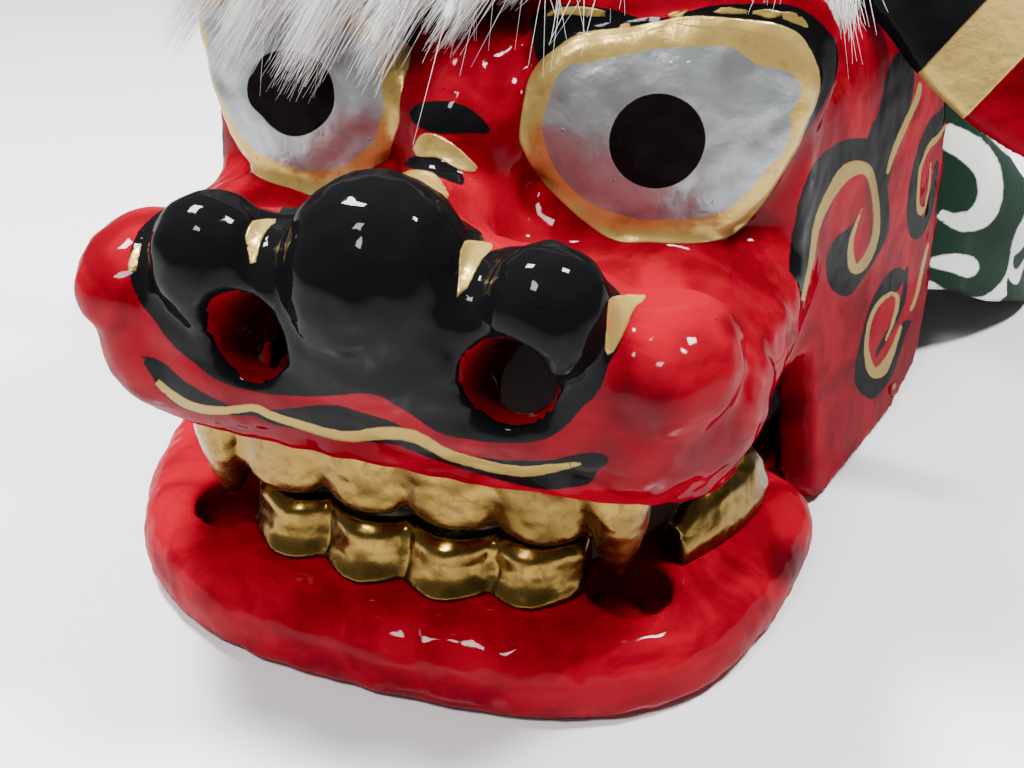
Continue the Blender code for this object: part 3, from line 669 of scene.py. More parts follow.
class ShaderSheet:
    """One material and the nodes that make it."""

    def __init__(self, name: str) -> None:
        """Start a material with an empty Principled BSDF.

        Args:
            name: The material's name.
        """
        self.material = bpy.data.materials.new(name)
        self.material.use_nodes = True
        self.nodes = self.material.node_tree.nodes
        self.shader = self.nodes["Principled BSDF"]
        self.object_place = self.node("ShaderNodeTexCoord", {}, {}, "Object")

    def node(self, kind: str, settings: dict, values: dict, output: str | int = 0) -> Wire:
        """Add a node.

        Args:
            kind: The node's type.
            settings: What is set on the node itself, before its sockets.
            values: The numbers, colours or wires of its sockets, by name or number.
            output: The output that is used.

        Returns:
            That output.
        """
        made = self.nodes.new(kind)
        for name, setting in settings.items():
            setattr(made, name, setting)
        for name, value in values.items():
            self._feed(made.inputs[name], value)
        return Wire(self, made.outputs[output])

    def _feed(self, socket: bpy.types.NodeSocket, value: "Value | Colour") -> None:
        """Link a wire to a socket, or set a number or a colour on it.

        Args:
            socket: The socket.
            value: What it takes.
        """
        if isinstance(value, Wire):
            self.material.node_tree.links.new(value.socket, socket)
        elif isinstance(value, tuple) and socket.type == "RGBA":
            socket.default_value = (*value, 1.0)
        else:
            socket.default_value = value

    def attribute(self, name: str) -> Wire:
        """Read an attribute of the mesh."""
        return self.node("ShaderNodeAttribute", {"attribute_name": name}, {}, "Fac")

    def mix(self, share: Value, first: Colour, second: Colour) -> Wire:
        """Mix two colours."""
        return self.node("ShaderNodeMix", {"data_type": "RGBA"}, {0: share, 6: first, 7: second}, 2)

    def stretched(self, scale: Point) -> Wire:
        """Scale the place along each axis, so that a pattern runs in streaks."""
        return self.node("ShaderNodeMapping", {}, {"Vector": self.object_place, "Scale": scale})

    def noise(self, size: float, detail: float = 2.0, place: Wire | None = None, twist: float = 0.0) -> Wire:
        """Add noise.

        Args:
            size: Length of a lump in millimetres.
            detail: How many finer layers it has.
            place: Where it is read, if not at the object's place.
            twist: How far it is swirled.

        Returns:
            The noise, from 0 to 1.
        """
        values = {
            "Vector": place or self.object_place, "Scale": 1.0 / (size * MM), "Detail": detail,
            "Roughness": 0.55, "Distortion": twist,
        }
        return self.node("ShaderNodeTexNoise", {}, values, "Fac")

    def cells(self, size: float) -> tuple[Wire, Wire]:
        """Scatter points.

        Args:
            size: How far apart they lie in millimetres.

        Returns:
            The way to the nearest point, and that point's own number.
        """
        values = {"Vector": self.object_place, "Scale": 1.0 / (size * MM)}
        made = self.node("ShaderNodeTexVoronoi", {}, values)
        number = Wire(self, made.socket.node.outputs["Color"])
        split = self.node("ShaderNodeSeparateColor", {}, {0: number}, 0)
        return made, split

    def bump(self, height: Wire, strength: float = 1.0) -> Wire:
        """Turn a height in millimetres into a normal."""
        values = {"Strength": strength, "Distance": MM, "Height": height}
        return self.node("ShaderNodeBump", {}, values, "Normal")

    def finish(self, **sockets: "Value | Colour") -> Finish:
        """Feed the shader's sockets.

        Args:
            sockets: Values or wires by socket name, with _ for a space.

        Returns:
            The material.
        """
        for name, value in sockets.items():
            self._feed(self.shader.inputs[name.replace("_", " ")], value)
        return self.material


@dataclass(frozen=True)
class PaintedLacquer:
    """Glossy red lacquer over filler, with the black, gold and silver painting on it, and darker patches
    that are partly painted shade.
    """

    name: str = "red_lacquer"
    deep: Three = (0.11, 0.0, 0.004)
    bright: Three = (0.22, 0.0, 0.008)
    # painted shade: the dark red of the darker patches, which are partly real and partly painted shade
    shade_and_smudge: Three = (0.055, 0.002, 0.004)
    ink: Three = (0.0035, 0.0035, 0.004)
    leaf: Three = (0.46, 0.32, 0.095)
    leaf_worn: Three = (0.27, 0.165, 0.045)
    gold_paint: Three = (0.28, 0.19, 0.048)
    gold_paint_worn: Three = (0.22, 0.155, 0.07)
    silver: Three = (0.32, 0.34, 0.345)
    silver_worn: Three = (0.20, 0.21, 0.22)
    pupil: Three = (0.006, 0.004, 0.005)
    inside: Three = (0.11, 0.004, 0.006)
    edge: float = 0.16
    wobble: float = 0.5
    # how much of the wobble reaches each layer of paint
    wobble_shares: tuple[float, ...] = (1.0, 0.8, 1.0, 0.8, 0.25)
    marble: float = 34.0
    bubble_cell: float = 5.0
    # metres back over which the side wall's duller lacquer starts, and how much duller it is
    dull_start: Span = (-0.086, -0.058)
    dull_share: float = 0.45
    coat: float = 0.18

    def make(self) -> Finish:
        """Build the material.

        Returns:
            The material.
        """
        sheet = ShaderSheet(self.name)
        wander = (sheet.noise(2.2) - 0.5) * self.wobble
        ink, leaf, gold, silver, pupil = (
            (sheet.attribute(layer.value) + wander * share).step(-self.edge, self.edge)
            for layer, share in zip(Paint, self.wobble_shares)
        )
        inside = sheet.attribute("inside")
        shade_and_smudge = sheet.attribute("shade_and_smudge")

        back = sheet.node("ShaderNodeSeparateXYZ", {}, {0: sheet.object_place}, "Y")
        gloss = 1 - back.step(*self.dull_start) * self.dull_share
        marble = sheet.noise(self.marble, 4.0, twist=1.2).step(0.36, 0.66)
        streak = sheet.noise(9.0, 3.0, place=sheet.stretched((1.0, 0.35, 1.6)), twist=0.6)
        red = sheet.mix((marble * 0.75 + streak * 0.45).step(0.05, 0.95), self.deep, self.bright)
        # painted shade: darker patches mixed into the red, partly real and partly shade painted in
        red = sheet.mix((shade_and_smudge * (0.55 + 0.9 * streak)).step(0.1, 0.9), red, self.shade_and_smudge)
        red = sheet.mix(inside, red, self.inside)
        wear = sheet.noise(5.0, 5.0).step(0.55, 0.75)
        leaf_colour = sheet.mix(wear * 0.6, self.leaf, self.leaf_worn)
        cloud = sheet.noise(20.0, 3.0, twist=0.5).step(0.40, 0.62)
        silver_colour = sheet.mix(cloud * 0.7, self.silver, self.silver_worn)
        gold_colour = sheet.mix(wear * 0.5, self.gold_paint, self.gold_paint_worn)

        base = sheet.mix(ink, red, self.ink)
        base = sheet.mix(leaf, base, leaf_colour)
        base = sheet.mix(gold, base, gold_colour)
        base = sheet.mix(silver, base, silver_colour)
        base = sheet.mix(pupil, base, self.pupil)

        lacquer_rough = 0.10 + streak * 0.12 + inside * 0.45 + (1 - gloss) * 0.22 + pupil * 0.2
        metal_rough = 0.30 + wear * 0.14 + silver * 0.10
        metal = (leaf + silver).maths("MINIMUM", 1.0) * (1 - pupil)
        painted = gold * (1 - silver)
        rough = lacquer_rough * (1 - metal) + metal_rough * metal + painted * 0.26
        metallic = metal * (0.55 + silver * 0.2) + painted * 0.5 * (1 - metal)

        away, number = sheet.cells(self.bubble_cell)
        bubbles = (1 - away.step(0.05, 0.13)) * number.step(0.74, 0.76)
        orange_peel = sheet.noise(5.5) * 0.30 + sheet.noise(2.0) * 0.05
        brushed = sheet.noise(1.4, 2.0, place=sheet.stretched((0.8, 0.16, 1.3))) * 0.035
        raised = sheet.attribute("leaf").step(-0.5, 0.5) * 0.30
        raised = raised + sheet.attribute("ink").step(-0.3, 0.3) * 0.05
        raised = raised + sheet.attribute("gold_paint").step(-0.4, 0.4) * 0.20
        crinkle = sheet.noise(1.6, 3.0) * metal * 0.09
        height = orange_peel + brushed + raised + crinkle + bubbles * 0.14
        coat = gloss * self.coat * (1 - pupil * 0.8) * (1 - metal) * (1 - painted * 0.8) + 0.05 * metal
        return sheet.finish(
            Base_Color=base, Roughness=rough, Metallic=metallic, Coat_Weight=coat.maths("MAXIMUM", 0.0),
            Normal=sheet.bump(height), Coat_Roughness=0.04, Coat_IOR=1.45, Specular_IOR_Level=0.0,
        )


@dataclass(frozen=True)
class Skull:
    """The carved head's outer form: plan outlines at each height, and what swells out of them."""

    # z, front edge, front corner across and back, and half width at the rear
    plans: Rows = (
        (-12, 58, 102, 72, 143.5),
        (57, 58, 93, 72, 139),
        (103, 60, 92, 74, 134.5),
        (140, 60, 91, 76, 128),
        (157, 62, 87, 80, 117),
        (170, 66, 78, 88, 101),
        (181, 75, 63, 98, 80),
        (188, 90, 42, 112, 52),
        (191, 108, 20, 124, 24),
    )
    muzzle: Rows = (
        (50, -18, 82, 26, 94),
        (75, -28, 88.5, 24, 97),
        (86, -33.5, 92.5, 22, 98),
        (97, -36, 92, 24, 98),
        (105, -32, 87, 30, 95),
        (111, -16, 76, 40, 86),
        (114.5, 6, 58, 52, 66),
    )
    rear_y: float = 206.0
    past_rim: float = 12.0
    muzzle_back_y: float = 110.0
    wall: float = 12.0
    lip_wall: float = 13.0
    squareness: float = 3.1
    corner_steps: int = 24
    crown_fade: Span = (60.0, 100.0)
    # centre and radii; those off the middle are mirrored
    bulbs: Rows = ((0, -22.5, 127, 23.6, 23, 24.5), (42, -25, 125, 15.5, 16, 17))
    swells: Rows = (
        (0, -17.5, 112, 34, 23, 26),
        (22, -13, 113, 46, 25, 20),
        (70, -9.5, 110, 17, 24, 15.5),
        (63, -6, 95, 20.5, 27, 24),
        (24, 62, 112, 22, 30, 20),
        (0, 20, 116, 19, 46, 21),
        (0, 62, 136, 22, 40, 33),
    )
    eye_outline: Rows = (
        (16, 144), (17.5, 155), (21, 163), (29, 168.5), (42, 171), (57, 174.5), (71, 175), (80, 172.5),
        (86.5, 167.5), (90, 158.5), (89, 150), (86.5, 140), (81, 127.5), (74, 118.5), (63, 114.5),
        (52, 113.5), (43, 115), (34, 120), (26, 127.5), (19, 136.5),
    )
    eye_centre: Span = (52.0, 143.5)
    eye_plane: Three = (47.0, 0.28, 0.1)
    eye_radius: float = 35.0
    # share of the outline, and how far it stands out of the eye's plane
    eye_levels: Rows = (
        (1, -30), (1, -4), (0.985, -1.2), (0.95, 0.5), (0.90, 0.8), (0.86, 0), (0.80, 0.6), (0.66, 2.2),
        (0.46, 3.6), (0.24, 4.4), (0.04, 4.6),
    )
    brow: Rows = (
        (14, 50, 163, 2.5), (22, 53, 171, 4.5), (38, 57, 176, 6), (56, 61, 180, 7), (72, 66, 180.5, 7),
        (84, 70, 174.5, 6), (90, 72, 165, 4.5), (91, 73, 153, 3.5), (88.5, 72, 142, 2.5),
    )
    seat_voxel: float = 2.4
    seat_faces: float = 0.08

    def crown_share(self, z: float) -> float:
        """Return how far up into the crown a height is, from 0 to 1."""
        low, high = self.crown_fade
        return max(0.0, min(1.0, (z - low) / (high - low)))

    def plan_at(self, z: float) -> Array:
        """Return the row of the plan table at any height."""
        table = np.array(self.plans)
        return np.array([np.interp(z, table[:, 0], table[:, column]) for column in range(5)])

    def half_width(self, z: float, y: float) -> float:
        """Work out half the head's width at a place.

        Args:
            z: The height.
            y: How far back.

        Returns:
            Half the width there.
        """
        _, front, corner_x, corner_y, rear_x = self.plan_at(z)
        if y >= corner_y:
            share = (y - corner_y) / (self.rear_y + self.past_rim - corner_y)
            return corner_x + share * (rear_x - corner_x)
        ahead = (corner_y - y) / (corner_y - front)
        if ahead >= 1.0:
            return 0.0
        return corner_x * max(0.0, 1.0 - ahead ** self.squareness) ** (1 / self.squareness)

    def rings(
        self, table: Rows, rear: float, inset: float, top: float, bottom: float | None = None,
    ) -> list[list[Point]]:
        """Turn plan rows into rings of drawing points.

        Args:
            table: The plan rows.
            rear: Where the form ends at the back.
            inset: How far the outline is drawn in.
            top: How far the crown is lowered.
            bottom: A lower height that the lowest outline is carried down to, if any.

        Returns:
            One closed ring for each height.
        """
        fine = smooth_line(table, 3)
        if bottom is not None:
            fine = np.vstack(((bottom, *fine[0][1:]), fine))
        power, made = 2 / self.squareness, []
        for z, front, corner_x, corner_y, rear_x in fine:
            z -= top * self.crown_share(z)
            half = []
            for i in range(self.corner_steps + 1):
                angle = math.pi / 2 * i / self.corner_steps
                x = (corner_x - inset) * math.sin(angle) ** power
                y = corner_y - (corner_y - front - inset) * math.cos(angle) ** power
                half.append((x, y))
            half.append((rear_x - inset, rear))
            outline = [(-x, y) for x, y in reversed(half[1:])] + half
            made.append([(x, y, z) for x, y in outline])
        return made

    def eye_rings(self, side: int, grow: float) -> list[list[Point]]:
        """Work out one eye: a raised rim round a low ball.

        Args:
            side: 1 for the left eye, -1 for the right.
            grow: How far the eye is grown.

        Returns:
            One closed ring for each level.
        """
        centre_x, centre_z = self.eye_centre
        base, lean_x, lean_z = self.eye_plane
        outline = smooth_line(self.eye_outline, 4, closed=True)
        made = []
        for share, proud in smooth_line(self.eye_levels, 2):
            wider = share * (1.0 + grow / self.eye_radius)
            ring = []
            for x, z in outline:
                across = centre_x + (x - centre_x) * wider
                up = centre_z + (z - centre_z) * wider
                plane = base + lean_x * (abs(across) - centre_x) + lean_z * (up - centre_z)
                ring.append((side * across, plane - proud - grow, up))
            made.append(ring)
        return made

    def block(self, grow: float = 0.0) -> Block:
        """Form the outside of the head.

        Args:
            grow: How far each form is grown.

        Returns:
            The forms, which overlap.
        """
        block = Block()
        block.loft(self.rings(self.plans, self.rear_y + self.past_rim + grow, -grow, -grow))
        block.loft(self.rings(self.muzzle, self.muzzle_back_y, -grow, -grow))
        for x, y, z, *radii in (*self.bulbs, *self.swells):
            for side in (1, -1) if x > 0.0 else (1,):
                block.ball((side * x, y, z), [radius + grow for radius in radii], 40)
        brow = smooth_line(self.brow, 3)
        for side in (1, -1):
            block.loft(self.eye_rings(side, grow))
            for x, y, z, radius in brow:
                block.ball((side * x, y, z), [radius + grow] * 3, 16)
            for near, far in zip(brow, brow[1:]):
                start, end = ((side * row[0], row[1], row[2]) for row in (near, far))
                block.rod(start, end, near[3] + grow, far[3] + grow, 16)
        return block

    def clearance(self, name: str, grow: float) -> Piece:
        """Make a slightly larger head, to cut what sits on the head.

        Args:
            name: The object's name.
            grow: How much larger it is.

        Returns:
            The larger head, in few faces.
        """
        piece = self.block(grow).finish(name)
        remesh(piece, self.seat_voxel)
        soften(piece, 3)
        made = piece.modifiers.new("Fewer faces", "DECIMATE")
        made.ratio = self.seat_faces
        return settle(piece)


SKULL = Skull()


@dataclass
class CarvedHead:
    """The one carved piece: face, nose, eyes and side walls round a hollow, with all its painting."""

    skull: Skull = SKULL
    voxel: float = 1.9
    # Side view of what is sawn away below: y and z along the lip, down the notch and along the foot.
    mouth_profile: Rows = (
        (-90, -30), (-90, 77), (-28, 75.5), (-8, 69), (8, 66.5), (84, 65), (92, 62), (95, 54), (98, 8),
        (104, 1.5), (178, 1.5), (198, 8), (204, 17), (206.5, 30), (206.5, -30),
    )
    nostrils: tuple[tuple[Point, Point], ...] = (
        ((36.2, -70, 123.4), (35.2, 26, 88.8)), ((-29.6, -70, 123.4), (-28.8, 26, 88.8)),
    )
    nostril_radii: Span = (13.0, 8.2)
    hollow_back: float = 130.0
    hollow_highest: float = 100.0
    hollow_roof: float = 4.0
    bore: float = 3.0
    pupil_radius: float = 12.6
    pupil: Point = (52.2, 43.1, 143.9)
    paint_over_bulb: float = 2.6
    waves: Rows = ((26, 0.6), (11, 0.5), (5.2, 0.5))
    seed: float = 3.7
    calm: float = 0.4
    filler_passes: int = 300
    # the share of the filler that is kept on the crown, what the face gets on top, and where it starts
    filler_share: Span = (0.22, 0.98)
    filler_start: Span = (16.0, 2.0)
    first_rounding: int = 5
    filler_rounding: int = 2
    last_rounding: int = 8
    saw: float = 180.0
    below: float = -40.0
    beyond: Span = (260.0, 240.0)
    # how deep under the outer skin the plain inside starts, and where the painting ends
    inside_start: Span = (3.0, 14.0)
    painted_to: float = 2.6
    no_paint: float = -20.0

    def build(self) -> Piece:
        """Carve the head and paint it.

        Returns:
            The head.
        """
        head = self.skull.block().finish("carved_head")
        remesh(head, self.voxel)
        soften(head, self.first_rounding)
        settle(head)
        self._fill_valleys(head)
        outer = skin_tree(head)
        cutters = self._cutters()
        for cutter in cutters:
            carve(head, cutter)
        remesh(head, self.voxel)
        soften(head, self.last_rounding)
        settle(head, *cutters)
        bore = pin_bores("bores", self.saw, self.bore)
        roughen(head, self.waves, self.seed, self.calm)
        carve(head, bore)
        settle(head, bore)

        points = places(head)
        sunk = np.array([outer.find_nearest(Vector(point))[3] for point in points])
        note(head, "inside", rise(*self.inside_start, sunk))
        # painted shade: the darker patches on the head, partly real and partly painted shade
        note(head, "shade_and_smudge", painted_shade_and_smudges(points, SHADES_AND_SMUDGES))
        buried = np.where(sunk > self.painted_to, self.no_paint, 0.0)
        extra = {
            Paint.INK: self._bulb_depth(points) + buried,
            Paint.PUPIL: self.pupil_radius - np.linalg.norm(points - np.array(self.pupil), axis=1),
        }
        paint_layers(head, MOTIFS, extra)
        for layer in Paint:
            kept = head.data.attributes[layer.value].data
            values = np.zeros(len(points), np.float32)
            kept.foreach_get("value", values)
            kept.foreach_set("value", np.maximum(values + buried, -PAINT_DEPTH).astype(np.float32))
        return head

    def _fill_valleys(self, head: Piece) -> None:
        """Round the inner corners, where filler gathers, and keep the swelling forms as they are.

        Args:
            head: The solid head, before its hollows.
        """
        before, out = places(head), normals(head)
        soften(head, self.filler_passes)
        settle(head)
        after = places(head)
        gain = np.maximum(np.einsum("ij,ij->i", after - before, out), 0.0)
        crown, more = self.filler_share
        share = crown + more * rise(*self.filler_start, before[:, 1])
        move(head, before + out * (gain * share)[:, None])
        soften(head, self.filler_rounding)
        settle(head)

    def _cutters(self) -> list[Piece]:
        """Make the hollows and saw cuts.

        Returns:
            The forms that are cut away.
        """
        skull = self.skull
        low = self.below
        hollow = Block()
        top = skull.wall - 1.0
        hollow.loft(skull.rings(skull.plans, skull.rear_y + skull.past_rim, skull.wall, top, low))
        muzzle = Block()
        lower = [row for row in skull.muzzle if row[0] < self.hollow_highest]
        muzzle.loft(skull.rings(lower, self.hollow_back, skull.lip_wall, self.hollow_roof, low))
        mouth = Block()
        mouth.prism(self.mouth_profile, -self.saw, self.saw, along_x=True)
        rear = Block()
        back, top = self.beyond
        behind = ((skull.rear_y, low), (skull.rear_y, top), (back, top), (back, low))
        rear.prism(behind, -self.saw, self.saw, along_x=True)
        nostrils = Block()
        for start, end in self.nostrils:
            nostrils.rod(start, end, *self.nostril_radii, 40)
        blocks = {"hollow": hollow, "muzzle": muzzle, "mouth": mouth, "rear": rear, "nostrils": nostrils}
        return [block.finish(name) for name, block in blocks.items()]

    def _bulb_depth(self, points: Array) -> Array:
        """Measure how deep points lie in the black that covers the nose bulbs.

        Args:
            points: Drawing points.

        Returns:
            One depth for each.
        """
        depth = np.full(len(points), -PAINT_DEPTH)
        for x, y, z, *radii in self.skull.bulbs:
            for side in (1, -1):
                grown = np.array(radii) + self.paint_over_bulb
                away = np.linalg.norm((points - (side * x, y, z)) / grown, axis=1)
                depth = np.maximum(depth, (1.0 - away) * grown.min())
        return depth


def whole(paint: Paint, line: Rows, reach: Box = NOSE) -> Motif:
    """Return a motif that is drawn whole, with nothing mirrored."""
    return Motif(paint, line, reach, mirrored=False)


MOTIFS: list[Motif] = [
    # the black plate that joins the three bulbs
    whole(Paint.INK, (
        (128.6, 262), (131, 280), (134, 289), (142, 305), (155, 321), (166, 337.5), (182, 353.6),
        (192, 361), (214.6, 378.8), (240.6, 388.5), (269.9, 394), (312, 396.7), (370.7, 394), (400, 408),
        (422.7, 422.7), (442.2, 434), (474.8, 440.6), (510.6, 443.2), (539.8, 440.6), (562.6, 429.2),
        (582, 408), (598.4, 391.8), (608, 365.8), (611, 340), (606, 300), (590, 262), (560, 246),
        (500, 248), (462, 262), (440, 215), (400, 182), (365, 172), (320, 180), (285, 205), (262, 232),
        (236, 214), (200, 198), (165, 208), (138, 232),
    )),
    # the mustache and the gold line along it
    whole(Paint.INK, (
        (139.8, 357.6), (149.5, 356.7), (165.8, 364), (182, 378.8), (208, 395), (234, 406.4), (260, 409.7),
        (282.9, 409), (312, 405.8), (338, 405.5), (364, 413), (390, 421), (416, 434), (442, 448.7),
        (474.8, 456.9), (513.8, 460), (549.6, 460), (578.8, 453.6), (598.4, 453), (610.7, 459.5),
        (598.4, 469.9), (590.2, 482.9), (569, 487.7), (543, 489.4), (517, 484.5), (487.8, 476.4),
        (455.3, 466.6), (422.7, 455.2), (406.5, 448.7), (390.2, 443.8), (370.7, 442.2), (338.2, 439),
        (305.6, 430.8), (273, 424.3), (253.6, 416.2), (227.6, 415.2), (195, 412.9), (172.3, 401.6),
        (159.3, 388.5), (149.5, 372.3),
    )),
    whole(Paint.GOLD, (
        (157.6, 382, 3.2), (172.3, 395, 4), (191.8, 406.4, 4.2), (217.8, 410.7, 4.2), (240.6, 409, 3.8),
        (255, 408, 3.8), (273, 416.2, 4), (299, 424.3, 4.2), (325, 432.5, 4.6), (351, 436.7, 5.2),
        (380.4, 433.4, 6.2), (406.5, 434.7, 6.4), (426, 442.2, 5.8), (445.5, 453.6, 5.2),
        (471.5, 461.7, 5.2), (497.5, 468.2, 5.2), (526.8, 471.5, 5.2), (552.8, 468.2, 4.4),
        (582, 463.4, 1.6),
    )),
    # gold in the valleys between the bulbs and beside them
    whole(Paint.LEAF, (
        (258.5, 219.7), (278.6, 219.7), (268, 227.7), (260, 243.8), (253, 270.6), (247.8, 249),
        (245.6, 235.7), (250.5, 223.7),
    )),
    whole(Paint.LEAF, (
        (468.8, 240.3), (493.3, 244.9), (481, 260), (471.8, 278.6), (458, 301.5), (459, 275.5), (460, 254),
        (464, 243.4),
    )),
    whole(Paint.LEAF, (
        (150, 227.7), (142, 238), (139, 257), (133, 276), (128.6, 268), (130, 257), (136.6, 241),
        (144.6, 230),
    )),
    whole(Paint.LEAF, (
        (612.6, 297), (646, 295.4), (634, 309), (625, 330.6), (612.6, 352), (605, 353.6), (606.5, 330.6),
        (608, 309),
    )),
    # the bridge of the nose
    whole(Paint.INK, (
        (409, 117), (412, 108), (424, 102), (447, 101), (468, 107), (480, 116), (489, 127), (489, 134),
        (472, 133), (448, 134), (424, 130),
    ), BRIDGE),
    whole(Paint.LEAF, (
        (413, 147), (426, 133), (450, 142), (478, 168), (463, 171), (438, 158), (417, 156),
    ), BRIDGE),
    whole(Paint.INK, (
        (404, 165), (414, 156), (441, 159), (460, 171), (463, 185), (441, 178), (420, 171),
    ), BRIDGE),
    whole(Paint.GOLD, (
        (398, 178), (411, 170), (435, 174), (449, 196), (446, 199), (426, 184),
    ), BRIDGE),
    # the eye: a gold ring round silver
    Motif(Paint.LEAF, (
        (519.5, 133), (527, 85), (539, 62), (552.5, 51), (574.2, 35.8), (595.9, 30.4), (617.6, 28.2),
        (641.4, 24.9), (663, 20.6), (695, 16), (758.5, 20.6), (780.2, 24.9), (799.7, 34.7), (812.7, 54.2),
        (819.9, 75.9), (818.2, 97.6), (808.4, 121.4), (795.4, 151.8), (764, 202), (732, 235), (695, 243),
        (647, 242), (617, 241), (589, 225), (555, 195), (534, 170), (522, 147),
    )),
    Motif(Paint.SILVER, (
        (542.8, 121.4), (548.2, 101.9), (556.9, 78), (569.9, 64), (593.7, 61.8), (654.4, 48.8),
        (678.3, 47.3), (726, 46.6), (739, 52), (758.5, 65), (784.5, 70.5), (797.5, 80.2), (801.5, 93.2),
        (795.4, 106.2), (788.9, 112.8), (792, 123.6), (788.9, 141), (779, 160), (771, 165), (725, 211),
        (661, 220), (629, 217), (585, 200), (553, 165), (542, 129),
    )),
    # the right eye's own pupil, which is wider and drawn out towards its upper corner
    whole(Paint.PUPIL, (
        (247, 92), (249, 77), (257, 62), (269, 53), (286, 50), (304, 54), (321, 63), (331, 77), (334.5, 94),
        (333, 109), (325, 122), (312, 132), (297, 136.5), (283, 134), (271, 126), (261, 115), (251, 105),
    ), RIGHT_EYE),
    # the brow: black over the inner corner and down the outer side, with gold dashes
    Motif(Paint.INK, (
        (530.8, 21.7), (533, 40), (535.2, 54.2), (540.6, 62.9), (556, 56), (590, 40), (640, 32), (669, 24),
        (662, 17), (645.8, 19), (637, 17.3), (621.9, 11.9), (602, 7.6), (570, 4), (539.5, 10),
    )),
    Motif(Paint.INK, (
        (669.6, 18.4), (689, 11), (715, 5), (736.8, 4), (780.2, 4), (799.7, 8), (814.9, 17.4),
        (827.9, 30.4), (836.6, 43.4), (838.5, 65), (832.2, 86.7), (821.4, 108.4), (808.4, 130),
        (801.9, 138.8), (800, 128), (808, 100), (806, 70), (790, 45), (740, 30), (690, 26),
    )),
    *(Motif(Paint.GOLD, dash) for dash in (
        ((548, 14, 2), (570, 10.5, 4.5), (600, 13, 3.5), (612, 15, 1)),
        ((617, 27, 1), (625, 25.5, 2.4), (634, 23.5, 1)),
        ((668, 15, 2), (678, 14, 3.5), (689, 12, 2)),
        ((713, 10.5, 2), (730, 10.5, 3.5), (748, 11.5, 2)),
        ((757, 12.5, 2), (767, 13.5, 4.5), (778, 14.5, 3)),
        ((780, 15, 3), (795, 18, 5), (807, 26, 2.5)),
    )),
    # the big scroll on the side wall: black outside its gold line
    Motif(Paint.INK, (
        (788.4, 303.3), (789, 270), (791.8, 234.4), (799.8, 197.7), (815.9, 161), (838.9, 142.6),
        (857.2, 138), (875.6, 141.5), (883, 160), (887, 181.6), (889.3, 206.9), (888.2, 232), (877.9, 255),
        (861.8, 280.3), (848, 296.4), (832, 289.5), (826.2, 273.5), (827.4, 255), (836.6, 236.7),
        (850.3, 226.4), (864, 204.6), (864, 204.6), (857, 222), (851, 243), (852, 265), (858, 269),
        (868, 257), (875.5, 235), (876.5, 210), (872, 180), (864, 168), (848, 171), (833, 190), (818, 222),
        (811, 262), (803, 300), (799.8, 306.7), (799.8, 306.7),
    ), SIDE),
    Motif(Paint.GOLD, (
        (803, 300, 2), (811, 262, 2.6), (818, 222, 3.8), (833, 190, 5.2), (848, 171, 7.4), (864, 168, 6),
        (872, 180, 3.8), (876.5, 210, 3.4), (875.5, 235, 3.6), (868, 257, 4.2), (858, 269, 4.8),
        (852, 265, 4), (851, 243, 2.4), (857, 222, 1.4), (864, 204.6, 0.4),
    ), SIDE),
    Motif(Paint.INK, (
        (888, 70), (880, 108), (868, 138), (880, 170), (888, 182), (894, 160), (903, 135.7), (914, 88),
        (912, 58), (900, 50),
    ), SIDE),
    Motif(Paint.GOLD, (
        (920, 84, 2), (916.9, 99, 2.6), (905.4, 124.3, 2.8), (893.9, 151.8, 2.6), (887, 174.8, 1.2),
    ), SIDE),
    # the lower scroll
    Motif(Paint.INK, (
        (900.8, 267.7), (891.6, 270), (880.2, 285), (868.7, 307.9), (861.8, 335.4), (856, 358.4),
        (854.5, 379), (858.4, 390.5), (868.7, 398.5), (875.6, 397.4), (889.3, 381.3), (898.5, 358.4),
        (905.4, 335.4), (912.3, 319.4), (912.3, 319.4), (903, 322), (897, 335), (890, 356), (880, 374),
        (871, 374), (866, 350), (869, 325), (876, 307), (888, 295), (898, 290), (905, 276),
    ), SIDE),
    Motif(Paint.GOLD, (
        (901, 326, 1.6), (896, 341, 2), (890, 356, 3.4), (881, 371, 5.4), (872, 371, 4.6),
        (866.5, 350, 2.4), (869, 325, 2), (876, 307, 2), (888, 295, 2.2), (896, 295, 2.2), (897.5, 304, 2),
        (893, 322, 1.6), (886, 340, 1),
    ), SIDE),
    Motif(Paint.INK, (
        (907, 268, 1.6), (903, 300, 2.6), (893, 324, 2.6), (882, 344, 2.4), (875.6, 356, 1.2),
    ), SIDE),
    Motif(Paint.GOLD, ((911, 310, 1.4), (916.9, 294, 1.6), (922.6, 266.6, 1.6), (928.4, 243.6, 1)), SIDE),
    # the small scroll near the rear rim, from its side view
    Motif(Paint.INK, (
        (207, 116, 2), (198, 110, 4), (184.7, 108, 5), (175, 101, 4.6), (172.6, 89, 4.6), (178, 77, 4.6),
        (189, 72, 4), (196, 79, 4), (197.5, 92, 2.6),
    ), SIDE, Chart.SIDE),
    Motif(Paint.GOLD, (
        (204, 106, 1), (196, 103.9, 1.4), (186, 103, 1.6), (179.5, 98, 1.6), (178.5, 89.2, 1.6),
        (182, 81, 1.5), (188.5, 79, 1.3), (191.5, 86.7, 1.1), (190, 96, 0.6),
    ), SIDE, Chart.SIDE),
]

# darker patches painted into the lacquer: pixel across and down, radius and strength; partly real darker
# patches, partly painted shade
SHADES_AND_SMUDGES: list[ShadeAndSmudge] = [ShadeAndSmudge(*row) for row in (
    (733, 324, 26, 0.55), (640, 405, 75, 0.62), (695, 350, 50, 0.40), (120, 250, 50, 0.25),
    (610, 455, 50, 0.50), (560, 525, 60, 0.15), (787, 562, 42, 0.75), (728, 572, 30, 0.45),
    (228, 505, 34, 0.35), (615, 572, 40, 0.30), (790, 410, 34, 0.65), (205, 600, 26, 0.40),
    (440, 660, 50, 0.30), (930, 300, 60, 0.20),
)]


